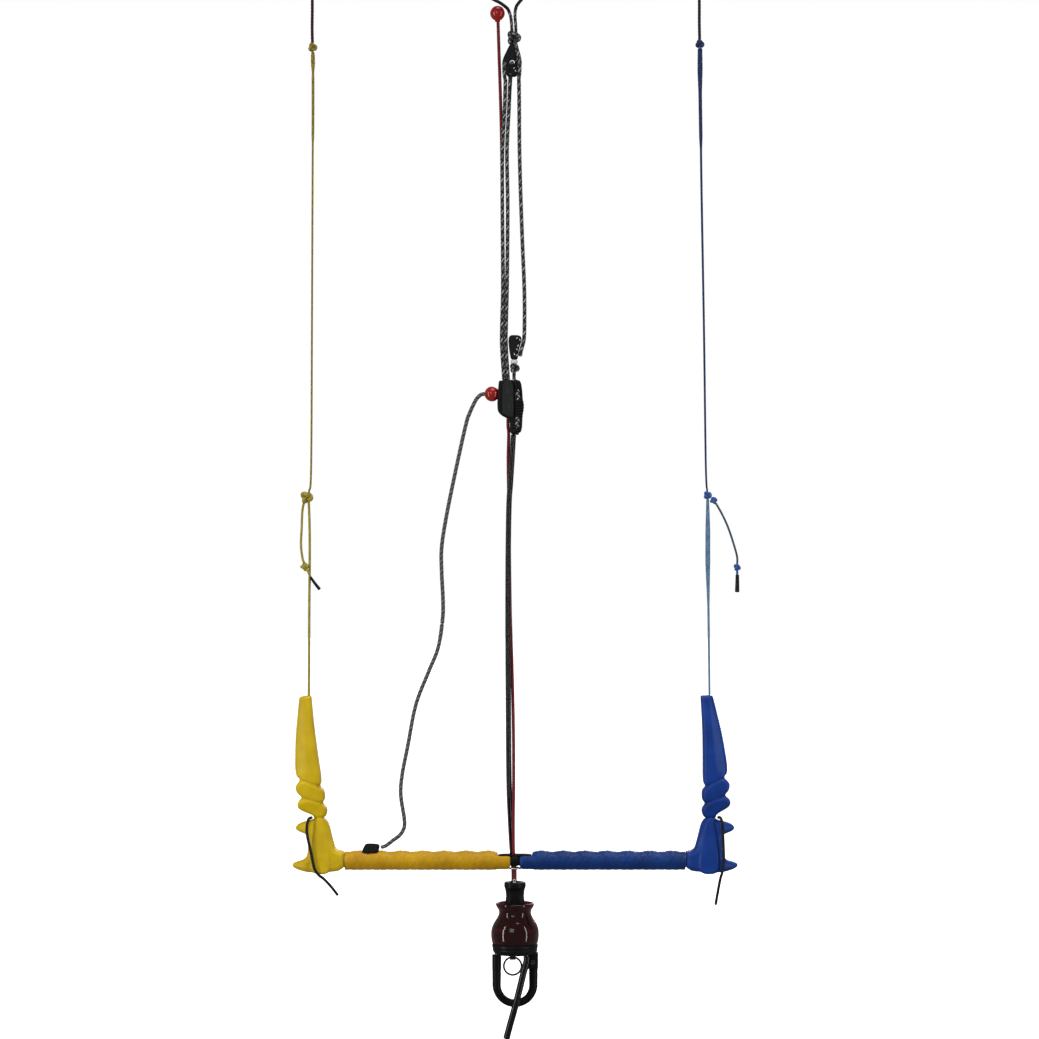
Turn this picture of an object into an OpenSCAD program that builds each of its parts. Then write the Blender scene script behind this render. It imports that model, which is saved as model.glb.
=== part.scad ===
// Kitesurf control bar with its lines: chicken loop and quick release, spinning
// collar, sliding bar with floats, trim cleat and the ends of the four flying lines.
// The origin is the seat of the harness hook in the chicken loop, +Z runs up the
// lines towards the kite, +X is the rider's right hand and -Y faces the rider.

/* [Bar] */
// Length of the bar over the tips of its winder horns
bar_length = 535; // [480:5:580]
// Height of the bar's axis above the hook seat
bar_height = 166; // [160:0.5:172]
// Radius of the foam grips
grip_radius = 11.5; // [11:0.1:12.5]
// Radius of the tube inside the grips
tube_radius = 8; // [7.5:0.1:8.5]
// How far the left float leans away from the middle, in degrees
left_lean = 6.7; // [-8:0.1:8]
// How far the right float leans away from the middle, in degrees
right_lean = -1.8; // [-8:0.1:8]

/* [Quick release] */
// Radius of the chicken loop's centre line
loop_radius = 22; // [21:0.5:23]
// Thickness of the chicken loop
loop_thick = 10; // [9:0.5:10]
// Largest radius of the release handle
handle_radius = 28.7; // [28:0.1:30]

/* [Lines] */
// Diameter of a steering leader
leader_d = 3; // [2.5:0.1:3.4]
// Diameter of the braided trim rope
rope_d = 4.6; // [4:0.1:4.7]
// Diameter of the red safety line
safety_d = 3.6; // [3:0.1:3.7]
// Diameter of the balls on the trim tail and on the safety line
ball_d = 18; // [16:0.5:18]

/* [Hidden] */
SIDES = ["left", "right"];

$fn = 48;
gap = 0.05;

// ---- places up the centre line
loop_centre_z = loop_radius - loop_thick / 2;
cup_floor = 54;
cup_top = 67.2;
handle_low = 67.5;
handle_lip = 115.5;
web_low = 82;
web_thick = 4;
post_radius = 10;
cap_low = 107;
cap_top = 110.6;
collar_low = 111;
collar_top = 140.4;
pin_height = 124;
ring_height = bar_height - 9;
cleat_low = 678;
cleat_top = 742.6;

// ---- chicken loop hinge and donkey stick
hinge_x = 21;
hinge_z = 45;
stick_x = 14;
stick_y = -12.6;
stick_d = 8;

// ---- bar
grip_inner = 3.4;
saddle_end = 21.6;
grip_outer = 204;
saddle_radius = 10.4;
saddle_top = bar_height + 6.3;
insert_half = 20;
tube_end = 236;
neck_x = bar_length / 2 - 33.2;
neck_z = bar_height + 51.8;
float_top = 145.5;
exit_shift = 3.8;

// Outline of a bar end: across from the middle of the bar, and up from the bar's axis
tip = bar_length / 2;
bar_end_outline = [
    [grip_outer + 0.2, -11.6], [tip - 26, -13.6], [tip - 4.5, -10], [tip, -5.6], [tip - 2, -3.4],
    [tip - 14.5, 3.4], [tip - 17.5, 9], [tip - 18.8, 26], [tip - 16.4, 34], [tip - 5, 38.6],
    [tip - 4.6, 40], [tip - 15.6, 45.4], [tip - 19.4, 47.2], [neck_x + 6.4, 50.4], [neck_x + 6.4, 51.7],
    [neck_x - 6.6, 51.7], [neck_x - 11, 45], [neck_x - 15.5, 27], [neck_x - 18.6, 14], [neck_x - 26, 11.4],
    [grip_outer + 0.2, 11.4]
];

// Outline of a float: out from its own axis, and up from the neck
float_outline = [
    [6.4, 0.1], [7, 4.5], [20.5, 12], [23.3, 16], [23, 21], [17.8, 26.6], [22.6, 33.5], [23.4, 40],
    [17.5, 48.3], [22.7, 56], [17.4, 99], [12, 125], [7.4, 142.5], [5.4, float_top],
    [-5.4, float_top], [-7.4, 143], [-6, 110], [-6.4, 77], [-7.2, 43], [-4.7, 37.8], [-8.6, 32], [-8.7, 22],
    [-5.8, 17.5], [-9.6, 10.5], [-9.4, 6], [-6.6, 0.1]
];
float_depth = [[7.2, float_top], [10.5, 110], [13.4, 56], [13, 20], [9, 0.1]];

// ---- routes of the lines, each point as across, depth, height
depower_route = [
    [-1, 0.8, 127], [-1.1, 0.8, 140], [-1.4, 0.8, 157], [-3.4, 0.6, 179], [-5.4, 0.4, 215], [-7.2, 0, 263],
    [-8, 0, 359], [-8.4, 0, 431], [-8.2, 0, 527], [-7.2, 0, 593], [-5.6, 0, 617], [-3.6, 0, 647],
    [-1.8, 0, 677.8]
];
safety_low_route = [
    [-0.8, -3.2, 127], [-0.8, -3.2, 140], [-0.8, -3.2, 157], [-1.8, -3.4, 179], [-2, -3.2, 215],
    [-1.6, -2.2, 263], [-2, 1.2, 330], [-3.6, 3.6, 400], [-5.6, 4.2, 460], [-6.6, 4.2, 527], [-7.4, 4.2, 593],
    [-8, 4, 625], [-8.2, 3.6, 650], [-7.6, 3, 677.8]
];
safety_high_route = [
    [-12, 5.4, 742.8], [-13, 5.6, 800], [-14, 5.6, 880], [-15.4, 5.4, 960], [-16.2, 5, 1030],
    [-17.4, 3, 1080], [-19, 1, 1130], [-20.4, 0, 1173.8]
];
rope_a_route = [
    [-13.2, 0, 742.8], [-15.8, 0, 785], [-15.6, 0, 809], [-14.6, 0, 851], [-14.8, 0, 905],
    [-15.2, 0, 959], [-15, 0, 1019], [-12.4, 0, 1070], [-11.4, 0, 1104]
];
rope_b_route = [
    [-8.2, 0, 742.8], [-10.8, 0, 785], [-10.6, 0, 809], [-9.6, 0, 851], [-9, 0, 905],
    [-8.8, 0, 959], [-9.6, 0, 1019], [-7.2, 0, 1070], [-6, 0, 1103]
];
rope_c_route = [
    [6, 0, 771], [7.6, 0, 779], [10.6, 0, 791], [11.4, 0, 809], [11.2, 0, 851], [9, 0, 905], [7, 0, 959],
    [5.4, 0, 1019], [5, 0, 1079], [4.6, 0, 1108]
];
tail_route = [
    [-36.9, 0, 726], [-41, 0, 725], [-46.8, 0, 719], [-54, 0, 704], [-59, 0, 689], [-71, 0, 635],
    [-82, 0, 581], [-88, 0, 542], [-88, 0, 512], [-86.4, 0, 479], [-87, 0, 455], [-92.4, 0, 421],
    [-104, 0, 392], [-119, 0, 353], [-128.4, -1, 305], [-135.4, -1, 269], [-137, -1, 245], [-133, -1, 218],
    [-133, -1, 206], [-138, -1, 197], [-147, -1, 190], [-155, -1, 184], [-161, -1, 182.2]
];
bungee_left_route = [
    [-244, -2, 217.8], [-245, -8, 218], [-247, -13.4, 216.4], [-248.6, -16.6, 208], [-248, -16.6, 197],
    [-244.4, -16.6, 181], [-240, -16.6, 160], [-235, -15.4, 151], [-229, -13, 146], [-221, -9, 137],
    [-212, -6, 125]
];
bungee_right_route = [
    [243.8, -2, 218], [244.8, -8, 218.8], [246, -13.6, 218], [247.6, -16.6, 213], [248.4, -16.6, 200],
    [249.4, -16.6, 172], [248, -16.6, 156], [245.4, -15, 146], [242.6, -12, 130], [240, -10, 114]
];
left_exit = [-247.4, 0, 363.4];
right_exit = [233.4, 0, 364.8];
leader_left_route = [
    left_exit, [-247.2, 0, 400], [-246.8, 0, 479], [-246.4, 0, 512], [-246.4, 0, 560], [-247.4, 0, 594]
];
line_left_route = [
    [-247, 0, 609.4], [-244.6, 0, 640], [-243.6, 0, 820], [-242.8, 0, 1000], [-242.4, 0, 1060],
    [-242.4, 0, 1115], [-242.6, 0, 1137.2]
];
adjuster_left_route = [
    [-253.4, 0, 595], [-255.2, 0, 585], [-256, 0, 565], [-256.8, 0, 545], [-255, 0, 529], [-252.8, 0, 523.2]
];
adjuster_tip_left_route = [[-248.6, -3.4, 514.4], [-244.6, -3.8, 508], [-240, -3, 499], [-234.4, -2, 491.4]];
leader_right_route = [
    right_exit, [233, 0, 400], [232, 0, 479], [231.4, 0, 520], [231.4, 0, 560], [231.2, 0, 600.4]
];
line_right_route = [
    [230.8, 0, 608.8], [229, 0, 640], [226.8, 0, 800], [224, 0, 960], [223, 0, 1034], [222.2, 0, 1090],
    [222, 0, 1141.2]
];
adjuster_right_route = [
    [240.8, 0, 595.2], [249.4, 0, 580], [256.8, 0, 563], [263.6, 0, 542], [266.6, 0, 530], [266.6, 0, 521.4]
];
adjuster_tip_right_route = [[266.6, 0, 514.6], [266.8, 0, 507], [266.6, 0, 488]];
pigtail_left_route = [[-243, 0, 1147], [-243.4, 0, 1165], [-243.2, 0, 1190], [-243.4, 0, 1222]];
pigtail_right_route = [[221.6, 0, 1150.8], [221.2, 0, 1170], [221.2, 0, 1195], [221, 0, 1222]];
yoke_left_route = [[-3.4, 0, 1157], [-4, 0, 1168], [-5, 0, 1178], [-7, -1, 1184.6]];
yoke_right_route = [[1.4, 0, 1157], [0.8, 0, 1168], [0, 0, 1180], [0.6, 0, 1188]];
front_left_route = [
    [-8.6, -3, 1187.4], [-13, -8, 1190.6], [-19, -12, 1194], [-26, -12, 1197.6], [-34, -8, 1203], [-42, -4, 1212]
];
front_right_route = [[1.8, 0, 1191.4], [5, 0, 1196], [9, 0, 1201], [13, 0, 1209], [16, 0, 1219]];

// ---- sweep of a tube along a route
function unit(v) = v / norm(v);
function spline(a, b, c, d, t) =
    0.5 * (2 * b + (c - a) * t + (2 * a - 5 * b + 4 * c - d) * t * t + (3 * b - a - 3 * c + d) * t * t * t);
function smooth(route, steps) = let (last = len(route) - 1) [
    for (i = [0 : last - 1]) for (s = [0 : steps - 1])
        spline(route[max(i - 1, 0)], route[i], route[i + 1], route[min(i + 2, last)], s / steps),
    route[last]
];
function tangent(path, i) = unit(path[min(i + 1, len(path) - 1)] - path[max(i - 1, 0)]);
function ring(path, i, wide, deep, sides) =
    let (along = tangent(path, i), across = unit(cross([0, 1, 0], along)), away = cross(along, across)) [
        for (k = [0 : sides - 1])
            path[i] + across * wide / 2 * cos(360 * k / sides) + away * deep / 2 * sin(360 * k / sides)
    ];

// A tube of a round or oval section along a route
module tube(route, wide, deep = 0, steps = 3, sides = 8) {
    path = smooth(route, steps);
    rings = len(path);
    thick = deep == 0 ? wide : deep;
    polyhedron(
        points = [for (i = [0 : rings - 1]) each ring(path, i, wide, thick, sides)],
        faces = [
            [for (k = [0 : sides - 1]) k],
            for (i = [0 : rings - 2]) for (k = [0 : sides - 1])
                [i * sides + k, (i + 1) * sides + k, (i + 1) * sides + (k + 1) % sides, i * sides + (k + 1) % sides],
            [for (k = [sides - 1 : -1 : 0]) (rings - 1) * sides + k]
        ]
    );
}

// A ball with flat ends across, so that a line meets it face to face
module knot(place, size, high) {
    translate(place) intersection() {
        sphere(d = size);
        cube([size, size, high], center = true);
    }
}

// Straight bar of a section along X
module along_x(from, to, radius) {
    translate([from, 0, 0]) rotate([0, 90, 0]) cylinder(r = radius, h = to - from);
}

module on_side(side) {
    mirror([side == "left" ? 1 : 0, 0, 0]) children();
}

// ---- harness end
module chicken_loop() {
    color([0.07, 0.07, 0.08]) difference() {
        union() {
            translate([0, 0, loop_centre_z]) rotate([-90, 0, 0])
                rotate_extrude(angle = 180) translate([loop_radius, 0]) circle(d = loop_thick);
            translate([-loop_radius, 0, loop_centre_z]) cylinder(d = loop_thick, h = cup_floor - 0.4 - loop_centre_z);
            translate([loop_radius, 0, loop_centre_z]) cylinder(d = loop_thick, h = hinge_z - loop_centre_z);
            translate([hinge_x, loop_thick / 2, hinge_z]) rotate([90, 0, 0]) cylinder(r = 6, h = loop_thick);
        }
        translate([hinge_x, loop_thick, hinge_z]) rotate([90, 0, 0]) cylinder(r = 2 + gap, h = 2 * loop_thick);
        translate([-loop_radius + 1, 0, cup_floor - 8]) cylinder(r = 2.5, h = 10);
    }
}

module loop_tongue() {
    color("silver") translate([-loop_radius + 1, 0, cup_floor - 8]) cylinder(r = 2.5, h = 14);
}

module loop_hinge_pin() {
    color("silver") translate([hinge_x, 8.4, hinge_z]) rotate([90, 0, 0]) cylinder(r = 2, h = 16.8);
}

module lower_cup() {
    color([0.08, 0.08, 0.09]) difference() {
        union() {
            rotate_extrude() polygon([
                [0, cup_floor], [24, cup_floor], [25.4, cup_floor + 1.6], [27.2, cup_top - 2.4], [27.2, cup_top - 1],
                [26.4, cup_top], [0, cup_top]
            ]);
            translate([hinge_x - 8, -8, hinge_z - 8]) cube([14.5, 16, cup_floor + 1 - hinge_z + 8]);
        }
        translate([hinge_x - 9, -loop_thick / 2 - 0.4, hinge_z - 9]) cube([20, loop_thick + 0.8, 16.4]);
        translate([hinge_x, 10, hinge_z]) rotate([90, 0, 0]) cylinder(r = 2, h = 20);
        translate([-25, -3.4, cup_floor - 1]) cube([8.6, 6.8, 9]);
        translate([0, 0, cup_floor + 2.4]) cylinder(r = post_radius, h = 20);
        translate([0, 0, cup_floor - 1]) cylinder(r = 4.6, h = 5);
        translate([stick_x, stick_y, cup_floor - 1]) cylinder(r = 2.5 + gap, h = 9);
    }
}

module core_post() {
    color([0.2, 0.2, 0.21]) difference() {
        translate([0, 0, cup_floor + 2.4]) cylinder(r = post_radius, h = cap_low - cup_floor - 2.4);
        translate([0, 0, cup_floor + 8]) cylinder(r = 6.6, h = 36.6);
        translate([0, 0, cup_floor + 2]) cylinder(r = 3 + gap, h = 60);
    }
}

module core_cap() {
    color([0.2, 0.2, 0.21]) difference() {
        translate([0, 0, cap_low]) cylinder(r = 13.6, h = cap_top - cap_low);
        translate([0, 0, cap_low - 1]) cylinder(r = 3 + gap, h = 6);
    }
}

// Compression spring that pushes the handle back down
spring_turns = 4;
spring_wire = 1.4;
spring_low = web_low + web_thick + spring_wire / 2 + 0.1;
spring_high = cap_low - spring_wire / 2 - 0.1;
spring_path = [
    for (i = [0 : spring_turns * 14]) [
        11.9 * cos(360 * i / 14), 11.9 * sin(360 * i / 14),
        spring_low + (spring_high - spring_low) * i / (spring_turns * 14)
    ]
];
function spring_ring(i) = let (angle = 360 * i / 14) [
    for (k = [0 : 5]) spring_path[i]
        + [cos(angle), sin(angle), 0] * spring_wire / 2 * cos(60 * k) + [0, 0, 1] * spring_wire / 2 * sin(60 * k)
];

module return_spring() {
    last = len(spring_path) - 1;
    color("silver") polyhedron(
        points = [for (i = [0 : last]) each spring_ring(i)],
        faces = [
            [for (k = [5 : -1 : 0]) k],
            for (i = [0 : last - 1]) for (k = [0 : 5])
                [i * 6 + k, i * 6 + (k + 1) % 6, (i + 1) * 6 + (k + 1) % 6, (i + 1) * 6 + k],
            [for (k = [0 : 5]) last * 6 + k]
        ]
    );
}

module release_handle() {
    r = handle_radius;
    color([0.35, 0.03, 0.05]) rotate_extrude() polygon([
        [r - 1.3, handle_low], [r - 0.3, 73], [r, 78], [r - 0.5, 84], [r - 2.6, 90], [r - 6.2, 96], [20, 100.5],
        [19.2, 104], [20, 107.5], [22.2, 111], [22.9, 112.6], [22.9, 114.6], [22, handle_lip], [20.6, 114.6],
        [18.6, 110.5], [17, 107], [16.6, 103], [17, 100], [r - 8.6, 94], [r - 5, 89], [r - 3.2, web_low + web_thick],
        [post_radius + gap, web_low + web_thick], [post_radius + gap, web_low], [r - 2.8, web_low], [r - 2.6, 78],
        [r - 3, 73], [r - 3.6, handle_low]
    ]);
}

module leash_eye() {
    color([0.35, 0.03, 0.05]) difference() {
        union() {
            translate([0, 0, cup_floor - 0.6]) cylinder(r = 4.6 - gap, h = 3);
            translate([-6.2, -3, 47.4]) cube([7, 6, cup_floor - 47.4]);
        }
        translate([-10, 0, 50.2]) rotate([0, 90, 0]) cylinder(r = 1.9, h = 20);
    }
}

module leash_ring() {
    color("silver") translate([-2.8, 0, 39.6]) rotate([90, 0, 0])
        rotate_extrude() translate([10.6, 0]) circle(r = 1.2, $fn = 24);
}

stick_route = [
    [stick_x, stick_y, cup_floor - 0.4], [stick_x, stick_y, 51], [stick_x, stick_y, 48], [12.6, stick_y, 42],
    [9.4, stick_y, 30], [4.6, stick_y, 10], [-0.6, stick_y, -10], [-6.2, stick_y, -30], [-10.4, stick_y, -46]
];

module donkey_stick() {
    color([0.05, 0.05, 0.05]) tube(stick_route, stick_d, steps = 2, sides = 12);
}

module stick_pivot() {
    color("silver") translate([stick_x, stick_y, cup_floor - 0.35]) cylinder(r = 2.5, h = 7);
}

// ---- spinning collar and the lines that run up from it
module spin_collar() {
    color([0.08, 0.08, 0.09]) difference() {
        rotate_extrude() polygon([
            [0, collar_low], [11.2, collar_low], [11.6, 117.6], [11, 124], [11.4, 128], [12.6, 134.4],
            [12.6, collar_top - 1], [11.8, collar_top], [0, collar_top]
        ]);
        translate([0, 0, 120]) cylinder(r = 7, h = 30);
        translate([0, 0, 100]) cylinder(r = 3, h = 30);
        translate([0, 12, pin_height]) rotate([90, 0, 0]) cylinder(r = 1.5, h = 24);
    }
}

module swivel_bolt() {
    color("silver") {
        translate([0, 0, 93]) cylinder(r = 3, h = 26);
        translate([0, 0, 88]) cylinder(r = 5.6, h = 5);
    }
}

module anchor_pin() {
    color("silver") translate([0, 9.8, pin_height]) rotate([90, 0, 0]) cylinder(r = 1.5, h = 19.6);
}

module depower_tube() {
    color([0.06, 0.06, 0.06]) tube(depower_route, 6.6, deep = 3.3, steps = 3, sides = 10);
}

module safety_line_lower() {
    color([0.55, 0.12, 0.14]) tube(safety_low_route, safety_d, steps = 3);
}

// ---- bar
module wear_ring() {
    color("silver") translate([0, 0, ring_height]) rotate_extrude() translate([6.8, 0]) circle(r = 1, $fn = 24);
}

module centre_insert() {
    color([0.09, 0.09, 0.1]) difference() {
        union() {
            intersection() {
                translate([0, 0, bar_height]) along_x(-insert_half, insert_half, tube_radius);
                translate([-30, -20, bar_height - 20]) cube([60, 40, 20 + saddle_top - bar_height]);
            }
            translate([0, 0, bar_height]) along_x(-grip_inner + 0.1, grip_inner - 0.1, 9.4);
            translate([-19.4, -7.6, saddle_top]) cube([38.8, 15.2, 1.4]);
        }
        translate([-30, -20, saddle_top + 1.4]) cube([60, 40, 20]);
        translate([0, 5.8, ring_height]) rotate([90, 0, 0]) linear_extrude(11.6)
            polygon([[-7, 0], [7, 0], [17, 17], [-17, 17]]);
        translate([0, 0, ring_height]) sphere(r = 8.2);
    }
}

module bar_tube() {
    color([0.12, 0.12, 0.13]) for (side = SIDES) on_side(side)
        translate([0, 0, bar_height]) difference() {
            along_x(insert_half + 0.1, tube_end, tube_radius);
            along_x(insert_half - 1, tube_end + 1, tube_radius - 1.5);
        }
}

module grip(side, paint) {
    color(paint) on_side(side) difference() {
        translate([0, 0, bar_height]) union() {
            along_x(saddle_end, grip_outer, grip_radius);
            along_x(grip_inner, saddle_end, saddle_radius);
        }
        translate([0, 0, bar_height]) along_x(0, grip_outer + 1, tube_radius + gap);
        translate([0, -20, saddle_top]) cube([saddle_end, 40, 20]);
        translate([0, 0, ring_height]) sphere(r = 8.2);
    }
}

module bar_end(side, paint) {
    color(paint) on_side(side) difference() {
        translate([0, 13, bar_height]) rotate([90, 0, 0]) linear_extrude(26) polygon(bar_end_outline);
        translate([0, 0, bar_height]) along_x(grip_outer - 1, tube_end + 0.2, tube_radius + gap);
        leader_bore(side);
    }
}

// Turns a shape that stands on the neck to the lean of its float
module leaned(side) {
    translate([neck_x, 0, neck_z]) rotate([0, side == "left" ? left_lean : right_lean, 0]) children();
}

// Bore for the steering leader, from the float's top down into the bar end
module leader_bore(side) {
    shift = side == "left" ? -exit_shift : exit_shift;
    leaned(side) translate([shift, 0, -20]) cylinder(r = 2, h = float_top + 40, $fn = 32);
}

module float(side, paint) {
    color(paint) on_side(side) difference() {
        leaned(side) intersection() {
            translate([0, 20, 0]) rotate([90, 0, 0]) linear_extrude(40) polygon(float_outline);
            translate([-40, 0, 0]) rotate([90, 0, 90]) linear_extrude(80) polygon(concat(
                float_depth, [for (i = [len(float_depth) - 1 : -1 : 0]) [-float_depth[i][0], float_depth[i][1]]]
            ));
        }
        leader_bore(side);
        translate([neck_x - 30, -20, neck_z - 10]) cube([60, 40, 10]);
    }
}

module leader_core(side, paint) {
    shift = side == "left" ? -exit_shift : exit_shift;
    color(paint) on_side(side) leaned(side) translate([shift, 0, -19]) cylinder(d = leader_d, h = float_top + 18);
}

module dock_patch() {
    color([0.1, 0.1, 0.1]) difference() {
        translate([-183.6, -7, bar_height + 8]) cube([21.6, 14, 12]);
        translate([0, 0, bar_height]) along_x(-200, -150, grip_radius + gap);
    }
}

// ---- steering lines
module adjuster_knots_left() {
    color([0.72, 0.6, 0.12]) {
        knot([-250.2, 0, 602], 14, 13.6);
        knot([-252.4, 0, 518.6], 8.6, 8);
    }
}

module adjuster_left() {
    color([0.75, 0.65, 0.15]) tube(adjuster_left_route, leader_d, steps = 2);
    color([0.05, 0.05, 0.05]) tube(adjuster_tip_left_route, leader_d, steps = 2);
}

module adjuster_knots_right() {
    color([0.2, 0.4, 0.7]) {
        knot([231, 0, 604.6], 9, 8);
        knot([238.4, 0, 598], 7, 6);
        knot([266.6, 0, 518], 8, 6.4);
    }
}

module adjuster_right() {
    color([0.3, 0.5, 0.75]) tube(adjuster_right_route, leader_d, steps = 2);
    color([0.05, 0.05, 0.05]) tube(adjuster_tip_right_route, leader_d + 0.6, steps = 2);
}

module leader_left() {
    color([0.75, 0.65, 0.15]) {
        tube(leader_left_route, leader_d, steps = 2);
        tube(line_left_route, leader_d, steps = 2);
    }
}

module leader_right() {
    color([0.25, 0.45, 0.7]) {
        tube(leader_right_route, leader_d, steps = 2);
        tube(line_right_route, leader_d, steps = 2);
    }
}

module line_knot_left() {
    color([0.6, 0.5, 0.12]) knot([-242.8, 0, 1142], 11, 9.4);
}

module line_knot_right() {
    color([0.1, 0.12, 0.3]) knot([221.8, 0, 1146], 10.6, 9.2);
}

module pigtail(route, paint) {
    color(paint) {
        tube(route, 3.6, steps = 2);
        knot(route[len(route) - 1] + [0, 0, 3.6], 8, 7);
    }
}

// ---- trim cleat
module cleat_body() {
    color([0.16, 0.16, 0.17]) difference() {
        translate([0, 9, 0]) rotate([90, 0, 0]) linear_extrude(18) polygon([
            [-19.4, cleat_top], [-20, 737], [-21.6, 716], [-21.2, 706], [-18.4, 702], [-10.4, 696.6],
            [-9.8, 682], [-6, cleat_low], [4, cleat_low], [4, cleat_top]
        ]);
        translate([-27.6, 0, 726]) sphere(d = ball_d + 0.6);
        translate([-8, -4, 700]) cube([6, 8, 30]);
    }
}

module cleat_cover() {
    color([0.2, 0.2, 0.21]) translate([-14.4, -11, 700]) cube([12, 1.9, 40]);
}

module cleat_jaw() {
    color("silver") translate([-7.8, -3.8, 700.2]) cube([5.6, 7.6, 29.6]);
}

module cleat_lashing() {
    color([0.12, 0.12, 0.13]) translate([0, 6, 0]) rotate([90, 0, 0]) linear_extrude(12) polygon([
        [4.1, cleat_low + 1], [6, cleat_low + 2], [7.6, 684], [10.3, 712.8], [9, 728], [7.2, 737], [5.3, cleat_top],
        [4.1, cleat_top]
    ]);
}

module trim_ball() {
    color([0.6, 0.05, 0.03]) translate([-27.6, 0, 726]) difference() {
        sphere(d = ball_d);
        translate([-20, 0, 0]) rotate([0, 90, 0]) cylinder(d = rope_d, h = 10.7);
    }
}

module trim_tail() {
    color([0.35, 0.35, 0.36]) tube(tail_route, rope_d, steps = 2);
}

module lower_tab() {
    color([0.12, 0.12, 0.13]) translate([0, 4, 0]) rotate([90, 0, 0]) linear_extrude(8)
        polygon([[-7.4, 796], [7, 796], [7.8, 791], [4.6, 780], [3.2, 767.2], [-4.6, 767.2], [-7.6, 790]]);
}

module lower_bead() {
    color([0.85, 0.85, 0.83]) translate([-1, 0, 762.4]) cylinder(r = 4.2, h = 4.6);
}

module lower_knot() {
    color([0.15, 0.15, 0.16]) {
        knot([-0.6, 0, 757.4], 10, 9.6);
        translate([-0.6, 0, cleat_top + 0.1]) cylinder(d = rope_d, h = 9.8);
    }
}

// ---- trim block and the ends of the front lines
module trim_block() {
    color([0.12, 0.12, 0.13]) difference() {
        translate([0, 4, 0]) rotate([90, 0, 0]) linear_extrude(8) polygon([
            [-4.8, 1148], [-9, 1140], [-15, 1126], [-15.4, 1119], [-12, 1111], [-8.4, 1106.6], [1.4, 1106.6],
            [5.6, 1113], [8.4, 1122], [6.4, 1134], [1.4, 1148]
        ]);
        translate([-3.4, 5, 1124]) rotate([90, 0, 0]) cylinder(r = 3.2, h = 10);
    }
}

module top_knot() {
    color([0.15, 0.15, 0.16]) knot([-1.8, 0, 1152.5], 11.4, 8.8);
}

module yoke_ropes() {
    color([0.15, 0.15, 0.16]) {
        tube(yoke_left_route, 4, steps = 2);
        tube(yoke_right_route, 4, steps = 2);
    }
}

module front_pigtail(route) {
    end = route[len(route) - 1];
    color([0.07, 0.07, 0.08]) {
        tube(route, 3.6, steps = 2);
        knot(end + 4 * unit(end - route[len(route) - 2]), 7, 6.6);
    }
}

module safety_ball() {
    color([0.6, 0.05, 0.03]) translate([-20.8, 0, 1182.8]) difference() {
        sphere(d = ball_d);
        translate([0, 0, -20]) cylinder(d = safety_d, h = 11.5);
    }
}

chicken_loop();
loop_tongue();
loop_hinge_pin();
lower_cup();
core_post();
core_cap();
return_spring();
release_handle();
leash_eye();
leash_ring();
donkey_stick();
stick_pivot();
spin_collar();
swivel_bolt();
anchor_pin();
depower_tube();
safety_line_lower();
wear_ring();
centre_insert();
bar_tube();
grip("left", [0.78, 0.6, 0.08]);  // grip_left
grip("right", [0.06, 0.2, 0.5]);  // grip_right
bar_end("left", [0.8, 0.7, 0.08]);  // bar_end_left
bar_end("right", [0.06, 0.2, 0.6]);  // bar_end_right
float("left", [0.8, 0.7, 0.08]);  // float_left
float("right", [0.06, 0.2, 0.6]);  // float_right
leader_core("left", [0.75, 0.65, 0.15]);  // leader_core_left
leader_core("right", [0.3, 0.5, 0.75]);  // leader_core_right
color([0.05, 0.05, 0.05]) tube(bungee_left_route, 3.2, steps = 3);  // bungee_left
color([0.05, 0.05, 0.05]) tube(bungee_right_route, 3.2, steps = 3);  // bungee_right
dock_patch();
leader_left();
adjuster_left();
adjuster_knots_left();
line_knot_left();
pigtail(pigtail_left_route, [0.25, 0.05, 0.07]);  // pigtail_left
leader_right();
adjuster_right();
adjuster_knots_right();
line_knot_right();
pigtail(pigtail_right_route, [0.1, 0.08, 0.2]);  // pigtail_right
cleat_body();
cleat_cover();
cleat_jaw();
cleat_lashing();
trim_ball();
trim_tail();
lower_tab();
lower_bead();
lower_knot();
color([0.2, 0.2, 0.2]) tube(rope_a_route, rope_d, steps = 2);  // trim_rope_a
color([0.2, 0.2, 0.2]) tube(rope_b_route, rope_d, steps = 2);  // trim_rope_b
color([0.2, 0.2, 0.2]) tube(rope_c_route, rope_d, steps = 2);  // trim_rope_c
color([0.55, 0.1, 0.12]) tube(safety_high_route, safety_d);  // safety_line_upper
safety_ball();
trim_block();
top_knot();
yoke_ropes();
front_pigtail(front_left_route);  // front_pigtail_left
front_pigtail(front_right_route);  // front_pigtail_right
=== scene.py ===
"""Looks of a kitesurf control bar with its lines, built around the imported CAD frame."""
import math

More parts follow.
